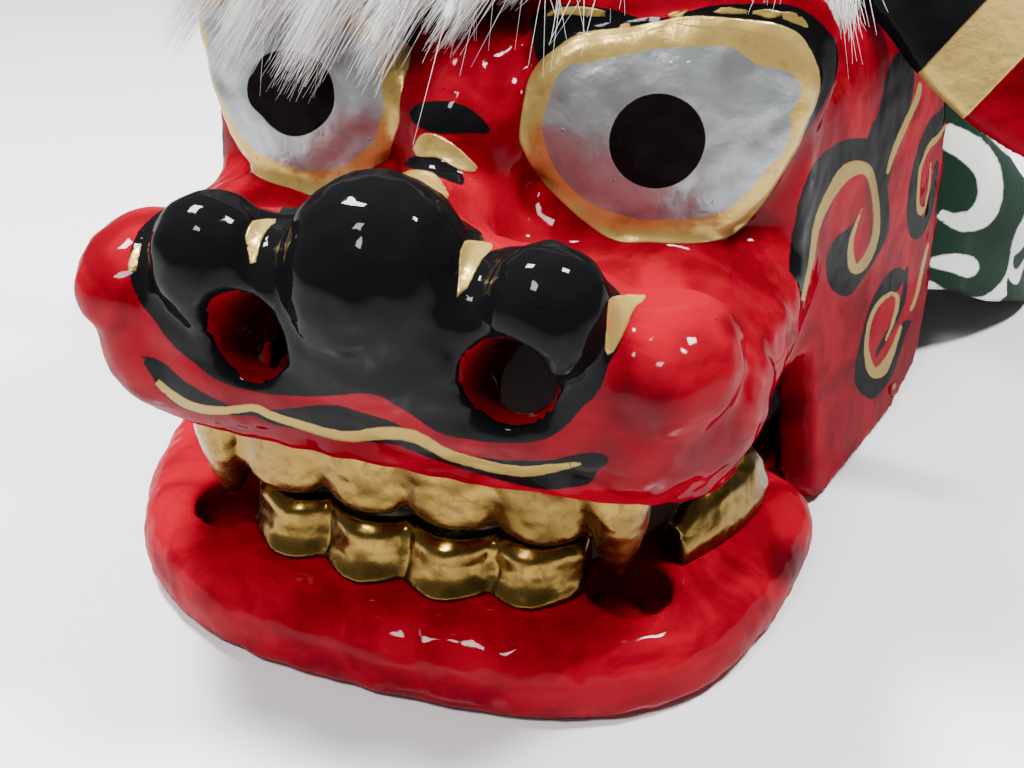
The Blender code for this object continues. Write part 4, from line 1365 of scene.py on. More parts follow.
@dataclass
class LowerJaw:
    """The lower jaw: a thick slab in a U with rounded edges, arms and fang sockets."""

    outer: Rows = (
        (0, -33.5), (28, -32), (53, -27), (73, -17), (87, -4), (96, 12), (102, 29), (106, 45), (108.5, 60),
        (108.5, 72), (104, 82), (96, 88),
    )
    mouth: Rows = ((0, 16), (45, 17), (58, 29), (65, 46), (73, 70), (79, 96))
    arm: Rows = (
        (80, 78), (90, 84), (91, 96), (114, 172), (113.5, 184), (103, 185), (100, 172), (79, 96), (74, 78),
    )
    arm_heights: Span = (0.6, 19.0)
    # height, and how far the outline is drawn in there
    edge: Rows = (
        (0, 5), (1.6, 2.4), (5, 0.4), (12, 0), (17, 0.9), (21, 3.4), (24, 7.6), (25, 12),
    )
    socket: tuple[float, float, float, float] = (61.5, 9.0, 12.5, 10.0)
    bore: float = 3.1
    bore_reach: float = 130.0
    voxel: float = 1.6
    waves: Rows = ((22, 0.55), (9, 0.45), (4.6, 0.42))
    seed: float = 11.3
    lowest: float = 0.05
    saw: float = 50.0
    inside_start: Span = (86.0, 104.0)
    inside_share: float = 0.7

    def build(self) -> Piece:
        """Carve the jaw.

        Returns:
            The jaw.
        """
        right = smooth_line(self.outer, 5)
        outline = np.vstack((right[:0:-1] * (-1.0, 1.0), right))
        run = np.roll(outline, -1, axis=0) - np.roll(outline, 1, axis=0)
        run[0], run[-1] = outline[1] - outline[0], outline[-1] - outline[-2]
        inward = np.stack((-run[:, 1], run[:, 0]), axis=1) / np.linalg.norm(run, axis=1)[:, None]
        block = Block()
        block.loft([
            [(x, y, z) for x, y in outline + inward * draw_in]
            for z, draw_in in smooth_line(self.edge, 2)
        ])
        jaw = block.finish("carved_jaw")
        arms, mouth, holes = Block(), Block(), Block()
        for side in (1, -1):
            arms.prism([(side * x, y) for x, y in self.arm], *self.arm_heights)
            x, y, radius, floor = self.socket
            holes.rod((side * x, y, floor), (side * x, y, self.saw), radius, sides=32)
        half = list(self.mouth)
        mouth.prism([(-x, y) for x, y in reversed(half) if x > 0.0] + half, -self.saw, self.saw)
        forms = [arms.finish("arms"), mouth.finish("mouth"), holes.finish("holes")]
        for form, operation in zip(forms, ("UNION", "DIFFERENCE", "DIFFERENCE")):
            carve(jaw, form, operation)
        remesh(jaw, self.voxel)
        soften(jaw, 4)
        settle(jaw, *forms)
        roughen(jaw, self.waves, self.seed)
        points = places(jaw)
        points[:, 2] = np.maximum(points[:, 2], self.lowest)
        move(jaw, points)
        bore = pin_bores("jaw_bores", self.bore_reach, self.bore)
        carve(jaw, bore)
        settle(jaw, bore)
        points = places(jaw)
        note(jaw, "inside", self.inside_share * rise(*self.inside_start, points[:, 1]))
        # painted shade: the darker patches on the jaw, partly real and partly painted shade
        note(jaw, "shade_and_smudge", painted_shade_and_smudges(points, SHADES_AND_SMUDGES))
        paint_layers(jaw, [], {})
        return jaw


@dataclass(frozen=True)
class GoldLeaf:
    """Gold leaf on crinkled filler, brown where it has worn, with reddish-brown shade painted into the
    hollows.
    """

    name: str = "gold_leaf"
    bright: Three = (0.215, 0.13, 0.029)
    dull: Three = (0.11, 0.06, 0.016)
    # painted shade: the reddish brown painted into the hollows
    low: Three = (0.20, 0.085, 0.03)

    def make(self) -> Finish:
        """Build the material.

        Returns:
            The material.
        """
        sheet = ShaderSheet(self.name)
        wear = sheet.noise(6.0, 5.0, twist=0.8).step(0.42, 0.72)
        deep = sheet.attribute("low")
        colour = sheet.mix(wear * 0.75, self.bright, self.dull)
        # painted shade: the hollows are painted reddish brown, broken up by the wear
        colour = sheet.mix(deep * (0.5 + 0.5 * wear), colour, self.low)
        crinkle = sheet.noise(5.0, 2.0, twist=0.3) * 0.13 + sheet.noise(1.4, 2.0) * 0.025
        return sheet.finish(
            Base_Color=colour, Metallic=1.0 - 0.4 * deep, Roughness=0.20 + wear * 0.16 + deep * 0.15,
            Normal=sheet.bump(crinkle), Coat_Weight=0.05, Coat_Roughness=0.1,
        )


@dataclass
class Teeth:
    """The gilt teeth, worked up from their plain solids."""

    # each row's plain solid and the size of its faces
    rows: tuple[tuple[str, float], ...] = (
        ("upper_front_teeth", 0.75), ("lower_front_teeth", 0.7),
        ("upper_side_teeth_left", 0.9), ("upper_side_teeth_right", 0.9),
        ("lower_side_teeth_left", 0.8), ("lower_side_teeth_right", 0.8),
    )
    seed: float = 20.0
    waves: Rows = ((9, 0.5), (4, 0.16))
    smoothing: int = 18
    filler_passes: int = 150
    flare: float = 2.6
    flare_heights: Span = (25.5, 31.5)
    rim: float = 0.4
    belly: float = 0.9
    taller: float = 1.6
    longer: float = 2.2
    tip_heights: Span = (57.0, 48.0)
    tooth_width: float = 25.0
    rim_heights: Span = (34.0, 38.0)
    fill_share: float = 0.85
    # the front faces, and the half widths of the lower and upper front teeth, fangs left out
    front: Span = (2.0, -4.0)
    lower_reach: Span = (54.0, 48.0)
    upper_reach: Span = (53.0, 49.0)
    # how deep in a hollow the painted shade starts and is full
    hollow_shade_depths: Span = (0.45, 2.2)

    def build(self) -> list[Piece]:
        """Make every row of teeth."""
        return [self._row(node, voxel, self.seed + i) for i, (node, voxel) in enumerate(self.rows)]

    def _row(self, node: str, voxel: float, seed: float) -> Piece:
        """Round and crinkle one row.

        Args:
            node: The row's plain solid.
            voxel: The size of its faces.
            seed: Shifts its crinkles.

        Returns:
            The row, which also notes how far each point lies in a hollow, where shade is painted.
        """
        row = copy_node(node, f"gilt_{node}")
        remesh(row, voxel)
        soften(row, self.smoothing)
        settle(row)
        before, out = places(row), normals(row)
        soften(row, self.filler_passes)
        settle(row)
        sunk = np.einsum("ij,ij->i", places(row) - before, out)
        filled = before + out * (np.maximum(sunk, 0.0) * self.fill_share)[:, None]
        if node == "lower_front_teeth":
            ahead = rise(*self.front, filled[:, 1]) * rise(*self.lower_reach, np.abs(filled[:, 0]))
            above = filled[:, 2] - self.flare_heights[0]
            foot = 1.0 - np.clip(above / np.ptp(self.flare_heights), 0.0, 1.0)
            top = rise(*self.rim_heights, filled[:, 2])
            belly = -self.belly * np.cos(2 * math.pi * filled[:, 0] / self.tooth_width)
            filled[:, 1] -= ahead * (self.flare * foot ** 2 + self.rim * top + belly)
            filled[:, 2] += self.taller * top
        if node == "upper_front_teeth":
            middle = rise(*self.upper_reach, np.abs(filled[:, 0]))
            filled[:, 2] -= self.longer * middle * rise(*self.tip_heights, filled[:, 2])
        move(row, filled)
        roughen(row, self.waves, seed)
        # painted shade: how deep each point lies in a hollow
        note(row, "low", rise(*self.hollow_shade_depths, sunk))
        return row


def copy_node(node: str, name: str) -> Piece:
    """Copy a plain solid of the frame as a mesh of its own.

    Args:
        node: The solid's name.
        name: The copy's name.

    Returns:
        The copy, with its doubled vertices joined.
    """
    mesh = bmesh.new()
    mesh.from_mesh(frame["nodes"][node].data)
    bmesh.ops.remove_doubles(mesh, verts=mesh.verts[:], dist=1e-6)
    data = bpy.data.meshes.new(name)
    mesh.to_mesh(data)
    mesh.free()
    data.materials.clear()
    return link(name, data)


@dataclass
class Ear:
    """One leaf-shaped ear, hollowed along its front and painted black, gold and red from root to tip."""

    side: int
    droop: float
    base: Point = (106.4, 128.0, 178.0)
    # along the axis, half width, thickness and sag of the root
    sections: Rows = (
        (-34, 11, 11, -15), (-20, 14, 11, -8), (-6, 17, 11, -2.5), (8, 20.5, 11, 0), (25, 24, 10, 0),
        (42, 25.5, 9, 0), (60, 24.5, 8, 0), (78, 19.5, 7, 0), (93, 11, 6, 0), (102, 3.5, 5, 0),
    )
    sides: int = 40
    squareness: float = 0.8
    widest: float = 26.0
    hollow: float = 5.0
    waves: Rows = ((16, 0.35), (5, 0.12))
    seed: float = 30.0
    tip_start: Span = (70.0, 100.0)
    # how much the ear's red darkens towards its tip
    tip_darkening: float = 0.35
    gold_band: Span = (26.0, 46.0)
    voxel: float = 1.1

    def _axes(self) -> tuple[Array, Array]:
        """Return the directions along and across the ear, for the left side."""
        cosine, sine = math.cos(math.radians(self.droop)), math.sin(math.radians(self.droop))
        return np.array((cosine, 0.0, -sine)), np.array((sine, 0.0, cosine))

    def build(self, cutter: Piece) -> Piece:
        """Carve the ear and paint it.

        Args:
            cutter: A slightly larger head that the root is cut off against.

        Returns:
            The ear.
        """
        along, across = self._axes()
        rings = []
        for place, half_width, thickness, sag in smooth_line(self.sections, 5):
            middle = np.array(self.base) + along * place + across * sag
            hollow = self.hollow * (half_width / self.widest) ** 2
            ring = []
            for i in range(self.sides):
                angle = 2 * math.pi * i / self.sides
                share = abs(math.cos(angle)) ** self.squareness * (1 if math.cos(angle) > 0 else -1)
                face = abs(math.sin(angle)) ** self.squareness * (1 if math.sin(angle) > 0 else -1)
                depth = hollow * (1.0 - share * share) + thickness * (0.5 + 0.5 * face)
                x, y, z = middle + across * share * half_width + np.array((0.0, depth, 0.0))
                ring.append((self.side * x, y, z))
            rings.append(ring)
        block = Block()
        block.loft(rings)
        ear = block.finish("painted_ear_left" if self.side > 0 else "painted_ear_right")
        remesh(ear, self.voxel)
        soften(ear, 3)
        carve(ear, cutter)
        settle(ear)
        roughen(ear, self.waves, self.seed + self.side)
        points = places(ear)
        away = (points * (self.side, 1.0, 1.0) - np.array(self.base)) @ along
        start, end = self.gold_band
        note(ear, "inside", np.zeros(len(points)))
        # the ear's red is painted darker towards its tip
        note(ear, "shade_and_smudge", self.tip_darkening * rise(*self.tip_start, away))
        paint_layers(ear, [], {
            Paint.INK: start - away, Paint.LEAF: np.minimum(away - start, end - away),
        })
        return ear


@dataclass(frozen=True)
class Bamboo:
    """Bare bamboo of the hinge pegs."""

    name: str = "bamboo"
    colour: Three = (0.22, 0.07, 0.035)
    fibre: Three = (0.10, 0.03, 0.02)

    def make(self) -> Finish:
        """Build the material.

        Returns:
            The material.
        """
        sheet = ShaderSheet(self.name)
        grain = sheet.noise(1.2, 3.0, place=sheet.stretched((0.1, 1.0, 1.0)))
        return sheet.finish(
            Base_Color=sheet.mix(grain, self.colour, self.fibre), Roughness=0.55 + grain * 0.1,
        )


@dataclass(frozen=True)
class WhiteFur:
    """White animal hair, a little yellow at the root and painted darker there, for the shade deep in the
    fur.
    """

    name: str = "white_fur"
    tip: Three = (0.88, 0.88, 0.87)
    # painted shade: the root colour is darker as well as a little yellow
    root: Three = (0.62, 0.60, 0.57)

    def make(self) -> Finish:
        """Build the material.

        Returns:
            The material.
        """
        sheet = ShaderSheet(self.name)
        tone = sheet.attribute("tone")
        return sheet.finish(
            Base_Color=sheet.mix(tone, self.root, self.tip), Roughness=0.42, Sheen_Weight=0.2,
        )


class StrandGroup:
    """A Geometry Nodes group that gives hair guides their thickness."""

    def __init__(self, taper_start: float = 0.15, tip_share: float = 0.12) -> None:
        """Build the group: guides become curves, taper to their tips and get a closed skin.

        Args:
            taper_start: The share of a hair's length from which it grows thinner.
            tip_share: How thick its tip is, as a share of its root.
        """
        self.tree = bpy.data.node_groups.new("fur strands", "GeometryNodeTree")
        self.sockets: dict[str, str] = {}
        self._port("Guides", "INPUT", "NodeSocketGeometry")
        self._port("Root radius", "INPUT", "NodeSocketFloat")
        self._port("Sides", "INPUT", "NodeSocketInt")
        self._port("Material", "INPUT", "NodeSocketMaterial")
        self._port("Fur", "OUTPUT", "NodeSocketGeometry")
        nodes = self.tree.nodes
        start, end = nodes.new("NodeGroupInput"), nodes.new("NodeGroupOutput")
        curve = self._add("GeometryNodeMeshToCurve", {"Mesh": start.outputs["Guides"]})
        place = self._add("GeometryNodeSplineParameter", {})
        taper = self._add("ShaderNodeMapRange", {
            "Value": place.outputs["Factor"], 1: taper_start, 2: 1.0, 3: 1.0, 4: tip_share,
        })
        radius = self._add("ShaderNodeMath", {
            0: start.outputs["Root radius"], 1: taper.outputs["Result"],
        }, {"operation": "MULTIPLY"})
        thick = self._add("GeometryNodeSetCurveRadius", {
            "Curve": curve.outputs["Curve"], "Radius": radius.outputs["Value"],
        })
        ring = self._add("GeometryNodeCurvePrimitiveCircle", {
            "Resolution": start.outputs["Sides"], "Radius": 1.0,
        })
        skin = self._add("GeometryNodeCurveToMesh", {
            "Curve": thick.outputs["Curve"], "Profile Curve": ring.outputs["Curve"],
            "Scale": radius.outputs["Value"], "Fill Caps": True,
        })
        smooth = self._add("GeometryNodeSetShadeSmooth", {0: skin.outputs["Mesh"]})
        real = self._add("GeometryNodeRealizeInstances", {"Geometry": smooth.outputs[0]})
        made = self._add("GeometryNodeSetMaterial", {
            "Geometry": real.outputs["Geometry"], "Material": start.outputs["Material"],
        })
        self.tree.links.new(made.outputs["Geometry"], end.inputs["Fur"])

    def _port(self, name: str, direction: str, kind: str) -> None:
        """Add a named input or output and keep its identifier."""
        made = self.tree.interface.new_socket(name=name, in_out=direction, socket_type=kind)
        self.sockets[name] = made.identifier

    def _add(self, kind: str, values: dict, settings: dict | None = None) -> bpy.types.Node:
        """Add a node.

        Args:
            kind: The node's type.
            values: Numbers or sockets for its inputs, by name or number.
            settings: What is set on the node itself.

        Returns:
            The node.
        """
        made = self.tree.nodes.new(kind)
        for name, setting in (settings or {}).items():
            setattr(made, name, setting)
        for name, value in values.items():
            if isinstance(value, bpy.types.NodeSocket):
                self.tree.links.new(value, made.inputs[name])
            else:
                made.inputs[name].default_value = value
        return made

    def grow(self, guides: Piece, **values: object) -> Piece:
        """Run the group on guides and leave the plain mesh.

        Args:
            guides: A mesh of polylines.
            values: The group's inputs, named with _ for a space.

        Returns:
            The plain mesh.
        """
        made = guides.modifiers.new("Strands", "NODES")
        made.node_group = self.tree
        for name, value in values.items():
            made[self.sockets[name.replace("_", " ").capitalize()]] = value
        return settle(guides)


@dataclass
class Mane:
    """The white mane: locks of hair from the crown that fall over the brows."""

    head: Piece
    material: Finish
    # root across and back, tip across, back and up, and radius at the root
    front: Rows = (
        (-82, 108, -96, 74, 164, 9),
        (-67, 102, -80, 48, 168, 10.5),
        (-51, 99, -60, 39, 161, 11),
        (-34, 98, -42, 34, 157, 11),
        (-17, 97, -20, 30, 159, 11),
        (0, 97, 0, 32, 163, 11),
        (17, 98, 19, 37, 171, 10.5),
        (34, 100, 34, 46, 181, 10.5),
        (51, 102, 54, 53, 186, 10.5),
        (68, 106, 76, 61, 184, 10),
        (82, 112, 96, 82, 170, 8.5),
    )
    crown_rows: tuple[float, ...] = (119.0, 139.0, 159.0, 178.0)
    reach: float = 42.0
    step: float = 16.5
    half_width: float = 80.0
    crown_radius: float = 9.0
    shift: float = 6.0
    spread: float = 1.1
    lift: float = 4.0
    # how high the roots stand on the skin, on the brow and on the crown
    root_lifts: Span = (2.0, 1.0)
    # shares of tip and root in the middle of a brow lock
    brow_middle: Span = (0.7, 0.3)
    brow_arch: float = 15.0
    # how far back and up the middle of a crown lock is moved
    crown_arch: Span = (-4.0, 6.0)
    tip_share: float = 0.26
    points_in_strand: int = 5
    # where strands start and end, as shares of the lock
    starts: Span = (0.0, 0.35)
    ends: Span = (0.62, 1.08)
    curl_turns: Span = (2.0, 5.0)
    curl_size: float = 0.5
    clumps: int = 7
    clump_step: float = 0.7
    front_strands: int = 760
    crown_strands: int = 190
    stray_strands: int = 260
    thickness: float = 0.19
    # how far hairs stray from their lock
    loose: float = 2.2
    stray_loose: float = 7.0
    # locks nearer the middle than this drift sideways, and the others take a share of it
    drift: float = -24.0
    drift_reach: float = 60.0
    outer_drift: float = 0.2
    clear: float = 1.2
    search: float = 12.0
    sky: float = 260.0
    no_skin: float = 150.0
    seed: int = 8
    # the palest and darkest root, and the painted shade that darkens the root against the tip
    root_tones: Span = (0.35, 1.0)
    root_painted_shade: float = 0.55
    underfur_seed: float = 50.0
    underfur_voxel: float = 2.6
    underfur_sunk: float = 3.2
    underfur_waves: Rows = ((7, 1), (3, 0.6))
    # painted shade: the underfur takes a dark tone, for the shade under the locks
    underfur_shade: float = 0.35
    tree: BVHTree = field(init=False, repr=False)

    def _crown(self, x: float, y: float) -> float:
        """Measure how high the head's skin lies at a place across and back."""
        hit = self.tree.ray_cast(Vector((x, y, self.sky)), Vector((0.0, 0.0, -1.0)))[0]
        return hit.z if hit else self.no_skin

    def _locks(self) -> tuple[list[tuple], list[tuple]]:
        """Lay out the locks.

        Returns:
            The brow's locks and the crown's, each as root, middle, tip and radius.
        """
        front, crown = [], []
        brow_lift, crown_lift = self.root_lifts
        of_tip, of_root = self.brow_middle
        for root_x, root_y, tip_x, tip_y, tip_z, radius in self.front:
            root = np.array((root_x, root_y, self._crown(root_x, root_y) + brow_lift))
            tip = np.array((tip_x, tip_y, tip_z))
            middle_y = of_tip * tip_y + of_root * root_y
            middle = np.array(((root_x + tip_x) / 2, middle_y, root[2] + self.brow_arch))
            front.append((root, middle, tip, radius))
        for number, y in enumerate(self.crown_rows):
            x = -self.half_width + self.shift * (number % 2)
            while x <= self.half_width:
                tip_x, tip_y = x * self.spread, y - self.reach
                root = np.array((x, y, self._crown(x, y) + crown_lift))
                tip = np.array((tip_x, tip_y, self._crown(tip_x, tip_y) + self.lift))
                middle = (root + tip) / 2 + (0.0, *self.crown_arch)
                crown.append((root, middle, tip, self.crown_radius))
                x += self.step
        return front, crown

    def _strands(self, lock: tuple, count: int, loose: float, rng: np.random.Generator) -> Array:
        """Scatter strands through one lock.

        Args:
            lock: Root, middle, tip and radius.
            count: How many strands.
            loose: How far strands stray from the lock towards their tips.
            rng: The source of chance.

        Returns:
            An array of strands, their points and three columns.
        """
        root, middle, tip, radius = lock
        t = np.linspace(0.0, 1.0, self.points_in_strand)[None, :, None]
        start = rng.uniform(*self.starts, (count, 1, 1))
        end = rng.uniform(*self.ends, (count, 1, 1))
        s = start + (end - start) * t
        line = root * (1 - s) ** 2 + middle * 2 * s * (1 - s) + tip * s ** 2
        along = (tip - root) / np.linalg.norm(tip - root)
        across = np.cross(along, (0.0, 0.0, 1.0))
        across /= np.linalg.norm(across)
        above = np.cross(across, along)
        angle = rng.uniform(0.0, 2 * math.pi, (count, 1, 1))
        out = np.sqrt(rng.uniform(0.0, 1.0, (count, 1, 1))) * radius
        thick = 1.0 - (1.0 - self.tip_share) * np.clip(s, 0, 1) ** 1.3
        offset = (np.cos(angle) * across + np.sin(angle) * above) * out * thick
        wave = rng.normal(0.0, 1.0, (count, 1, 3)) * loose * t ** 1.6
        curl = np.sin(t * rng.uniform(*self.curl_turns, (count, 1, 1)) + angle)
        curl = curl * rng.normal(0.0, self.curl_size, (count, 1, 3))
        clump = rng.integers(0, self.clumps, (count, 1, 1)) - self.clumps // 2
        clump = clump * self.clump_step * t * across
        return line + offset + wave + curl * t + clump

    def build(self) -> list[Piece]:
        """Grow the fur over a thin white underfur.

        Returns:
            The underfur, then the four batches of strands.
        """
        self.tree = skin_tree(self.head)
        rng = np.random.default_rng(self.seed)
        front, crown = self._locks()
        tufts = [self._strands(lock, self.front_strands, self.loose, rng) for lock in front]
        sway = np.linspace(0.0, 1.0, self.points_in_strand) ** 1.5 * self.drift
        for lock, tuft in zip(front, tufts):
            tuft[:, :, 0] += sway * (1.0 if abs(lock[0][0]) < self.drift_reach else self.outer_drift)
        few = self.stray_strands // len(front)
        strays = [self._strands(lock, few, self.stray_loose, rng) for lock in front]
        coat = [self._strands(lock, self.crown_strands, self.loose, rng) for lock in crown]
        half, middle = len(coat) // 2, len(tufts) // 2 + 1
        group = StrandGroup()
        made = [self._underfur()]
        for name, batch in (
            ("mane_brow_right", tufts[:middle]), ("mane_brow_left", tufts[middle:] + strays),
            ("mane_crown_fore", coat[:half]), ("mane_crown_rear", coat[half:]),
        ):
            strands = self._lift_off(np.concatenate(batch))
            guides = self._guides(name, strands)
            made.append(group.grow(guides, Root_radius=self.thickness * MM, Sides=3, Material=self.material))
        return made

    def _lift_off(self, strands: Array) -> Array:
        """Keep the strands out of the head.

        Args:
            strands: Strands, their points and three columns.

        Returns:
            The same strands, moved where they lay in the head or on it.
        """
        flat = strands.reshape(-1, 3).copy()
        for i, point in enumerate(flat):
            hit, normal, *_ = self.tree.find_nearest(Vector(point), self.search)
            if hit is not None:
                above = (Vector(point) - hit).dot(normal)
                if above < self.clear:
                    flat[i] += np.array(normal) * (self.clear - above)
        return flat.reshape(strands.shape)

    def _guides(self, name: str, strands: Array) -> Piece:
        """Make a mesh of polylines.

        Args:
            name: The mesh's name.
            strands: Strands, their points and three columns.

        Returns:
            The guides, with a tone from root to tip on their points, painted darker towards the root for
            shade.
        """
        count, steps, _ = strands.shape
        numbers = np.arange(count * steps).reshape(count, steps)
        edges = np.stack((numbers[:, :-1].ravel(), numbers[:, 1:].ravel()), axis=1)
        data = bpy.data.meshes.new(name)
        data.from_pydata(to_metres(strands.reshape(-1, 3)).tolist(), edges.tolist(), [])
        guides = link(name, data)
        shade = np.random.default_rng(count).uniform(*self.root_tones, (count, 1))
        # painted shade: each strand darkens towards its root
        shade = shade * np.linspace(self.root_painted_shade, 1.0, steps)
        note(guides, "tone", shade.ravel())
        return guides

    def _underfur(self) -> Piece:
        """Make the close underfur that the locks grow from.

        Returns:
            The underfur.
        """
        fur = copy_node("mane", "mane_underfur")
        remesh(fur, self.underfur_voxel)
        soften(fur, 6)
        settle(fur)
        move(fur, places(fur) - normals(fur) * self.underfur_sunk)
        soften(fur, 3)
        settle(fur)
        roughen(fur, self.underfur_waves, self.underfur_seed)
        # painted shade: the underfur is given the darker tone
        note(fur, "tone", np.full(len(fur.data.vertices), self.underfur_shade))
        fur.data.materials.append(self.material)
        return fur


@dataclass
class BodyCloth:
    """The start of the green body cloth with its white scrolls, tacked inside the rear rim."""

    skull: Skull = SKULL
    # back, half width, hem height, top height and squareness of the arch
    arches: Rows = (
        (226, 145, 32, 168, 4), (244, 160, 21, 150, 3.4), (262, 173, 14, 126, 3), (280, 182, 7, 98, 2.8),
        (298, 187, 1.8, 70, 2.6), (316, 186, 1.8, 42, 2.4), (334, 178, 1.8, 20, 2.2),
        (350, 164, 1.8, 7.5, 2),
    )
    rim_levels: tuple[float, ...] = (
        36, 70, 103, 125, 140, 150, 157, 164, 170, 176, 181, 185, 188,
    )
    start_y: float = 191.0
    gap: float = 1.0
    half_sheet: float = 1.0
    behind_rim: float = 1.0
    thickness: float = 1.6
    lowest: float = 1.8
    across: int = 300
    folds: float = 8.5
    fold_depth: float = 5.5
    fold_start: float = 90.0
    fold_turn: float = 0.012
    # height under which the folds fade, and the share of it that they fan out from
    fold_fade: float = 40.0
    fold_centre: float = 0.3
    # length, height and seed of each size of crease, and how far behind the rim they are full
    creases: Rows = ((14, 0.35, 71), (5, 0.12, 75))
    crease_start: float = 25.0

    @staticmethod
    def _even(points: Array, count: int) -> Array:
        """Space points evenly along a line.

        Args:
            points: The line.
            count: How many points it gets.

        Returns:
            The new line.
        """
        run = np.concatenate(((0.0,), np.cumsum(np.linalg.norm(np.diff(points, axis=0), axis=1))))
        wanted = np.linspace(0.0, run[-1], count)
        return np.stack([np.interp(wanted, run, points[:, axis]) for axis in range(3)], axis=1)

    def _rim(self, y: float) -> Array:
        """Follow the wall on its inner side, from hem to hem.

        Args:
            y: How far back.

        Returns:
            Its points.
        """
        inside = self.skull.wall + self.gap + self.half_sheet
        half = []
        last = len(self.rim_levels) - 1
        for level in np.interp(np.linspace(0, last, 5 * last + 1), range(last + 1), self.rim_levels):
            drop = (self.gap + self.skull.wall) * self.skull.crown_share(level)
            half.append((max(self.skull.half_width(level, y) - inside, 0.0), y, level - drop))
        top = self.skull.plans[-1][0] - self.skull.wall - self.gap - self.half_sheet
        left = np.array(half)
        return self._even(np.vstack((left, ((0.0, y, top),), left[::-1] * (-1.0, 1.0, 1.0))), self.across)

    def _arch(self, row: Sequence[float]) -> Array:
        """Draw a free arch behind the rim, with its folds.

        Args:
            row: A row of the table of arches.

        Returns:
            Its points.
        """
        y, half_width, foot, top, squareness = row
        power = 2 / squareness
        angle = np.linspace(0.0, math.pi, 241)
        x = half_width * np.abs(np.cos(angle)) ** power * np.where(angle < math.pi / 2, 1, -1)
        z = foot + (top - foot) * np.abs(np.sin(angle)) ** power
        line = self._even(np.stack((x, np.full_like(x, y), z), axis=1), self.across)
        depth = self.fold_depth * min(1.0, (y - self.skull.rear_y) / self.fold_start)
        depth *= min(1.0, top / self.fold_fade)
        wave = np.sin(2 * math.pi * self.folds * np.linspace(0.0, 1.0, self.across) + self.fold_turn * y)
        outward = line - (0.0, y, self.fold_centre * top)
        outward /= np.linalg.norm(outward, axis=1)[:, None]
        line += outward * (depth * wave)[:, None]
        line[:, 2] = np.maximum(line[:, 2], self.lowest)
        return line

    def build(self) -> Piece:
        """Make the sheet and draw its pattern.

        Returns:
            The cloth.
        """
        rim = self.skull.rear_y + self.behind_rim
        lines = [self._rim(self.start_y), self._rim(rim)]
        lines += [self._arch(row) for row in smooth_line(self.arches, 2)]
        flat = np.array(lines).reshape(len(lines), -1)
        grid = smooth_line(flat, 5).reshape(-1, self.across, 3)
        grid[:, :, 2] = np.maximum(grid[:, :, 2], self.lowest)
        rows = len(grid)
        numbers = np.arange(rows * self.across).reshape(rows, self.across)
        corners = (numbers[:-1, :-1], numbers[:-1, 1:], numbers[1:, 1:], numbers[1:, :-1])
        quads = np.stack([corner.ravel() for corner in corners], axis=1)
        data = bpy.data.meshes.new("scroll_cloth")
        data.from_pydata(to_metres(grid.reshape(-1, 3)).tolist(), [], quads.tolist())
        cloth = link("scroll_cloth", data)
        points = grid.reshape(-1, 3)
        creases = sum(height * lumps(points, size, seed) for size, height, seed in self.creases)
        settled = rise(rim, rim + self.crease_start, points[:, 1])
        moved = points + normals(cloth) * (creases * settled)[:, None]
        moved[:, 2] = np.maximum(moved[:, 2], self.lowest)
        move(cloth, moved)
        run = np.concatenate((
            np.zeros((rows, 1)), np.cumsum(np.linalg.norm(np.diff(grid, axis=1), axis=2), axis=1),
        ), axis=1)
        run -= run[:, -1:] / 2
        back = np.concatenate((
            np.zeros((1, self.across)), np.cumsum(np.linalg.norm(np.diff(grid, axis=0), axis=2), axis=0),
        ), axis=0)
        chart = np.stack((np.abs(run).ravel(), back.ravel()), axis=1)
        note(cloth, "scroll", ScrollPattern().depth(points, chart))
        made = cloth.modifiers.new("Thickness", "SOLIDIFY")
        made.thickness = self.thickness * MM
        made.offset = 0.0
        return settle(cloth)


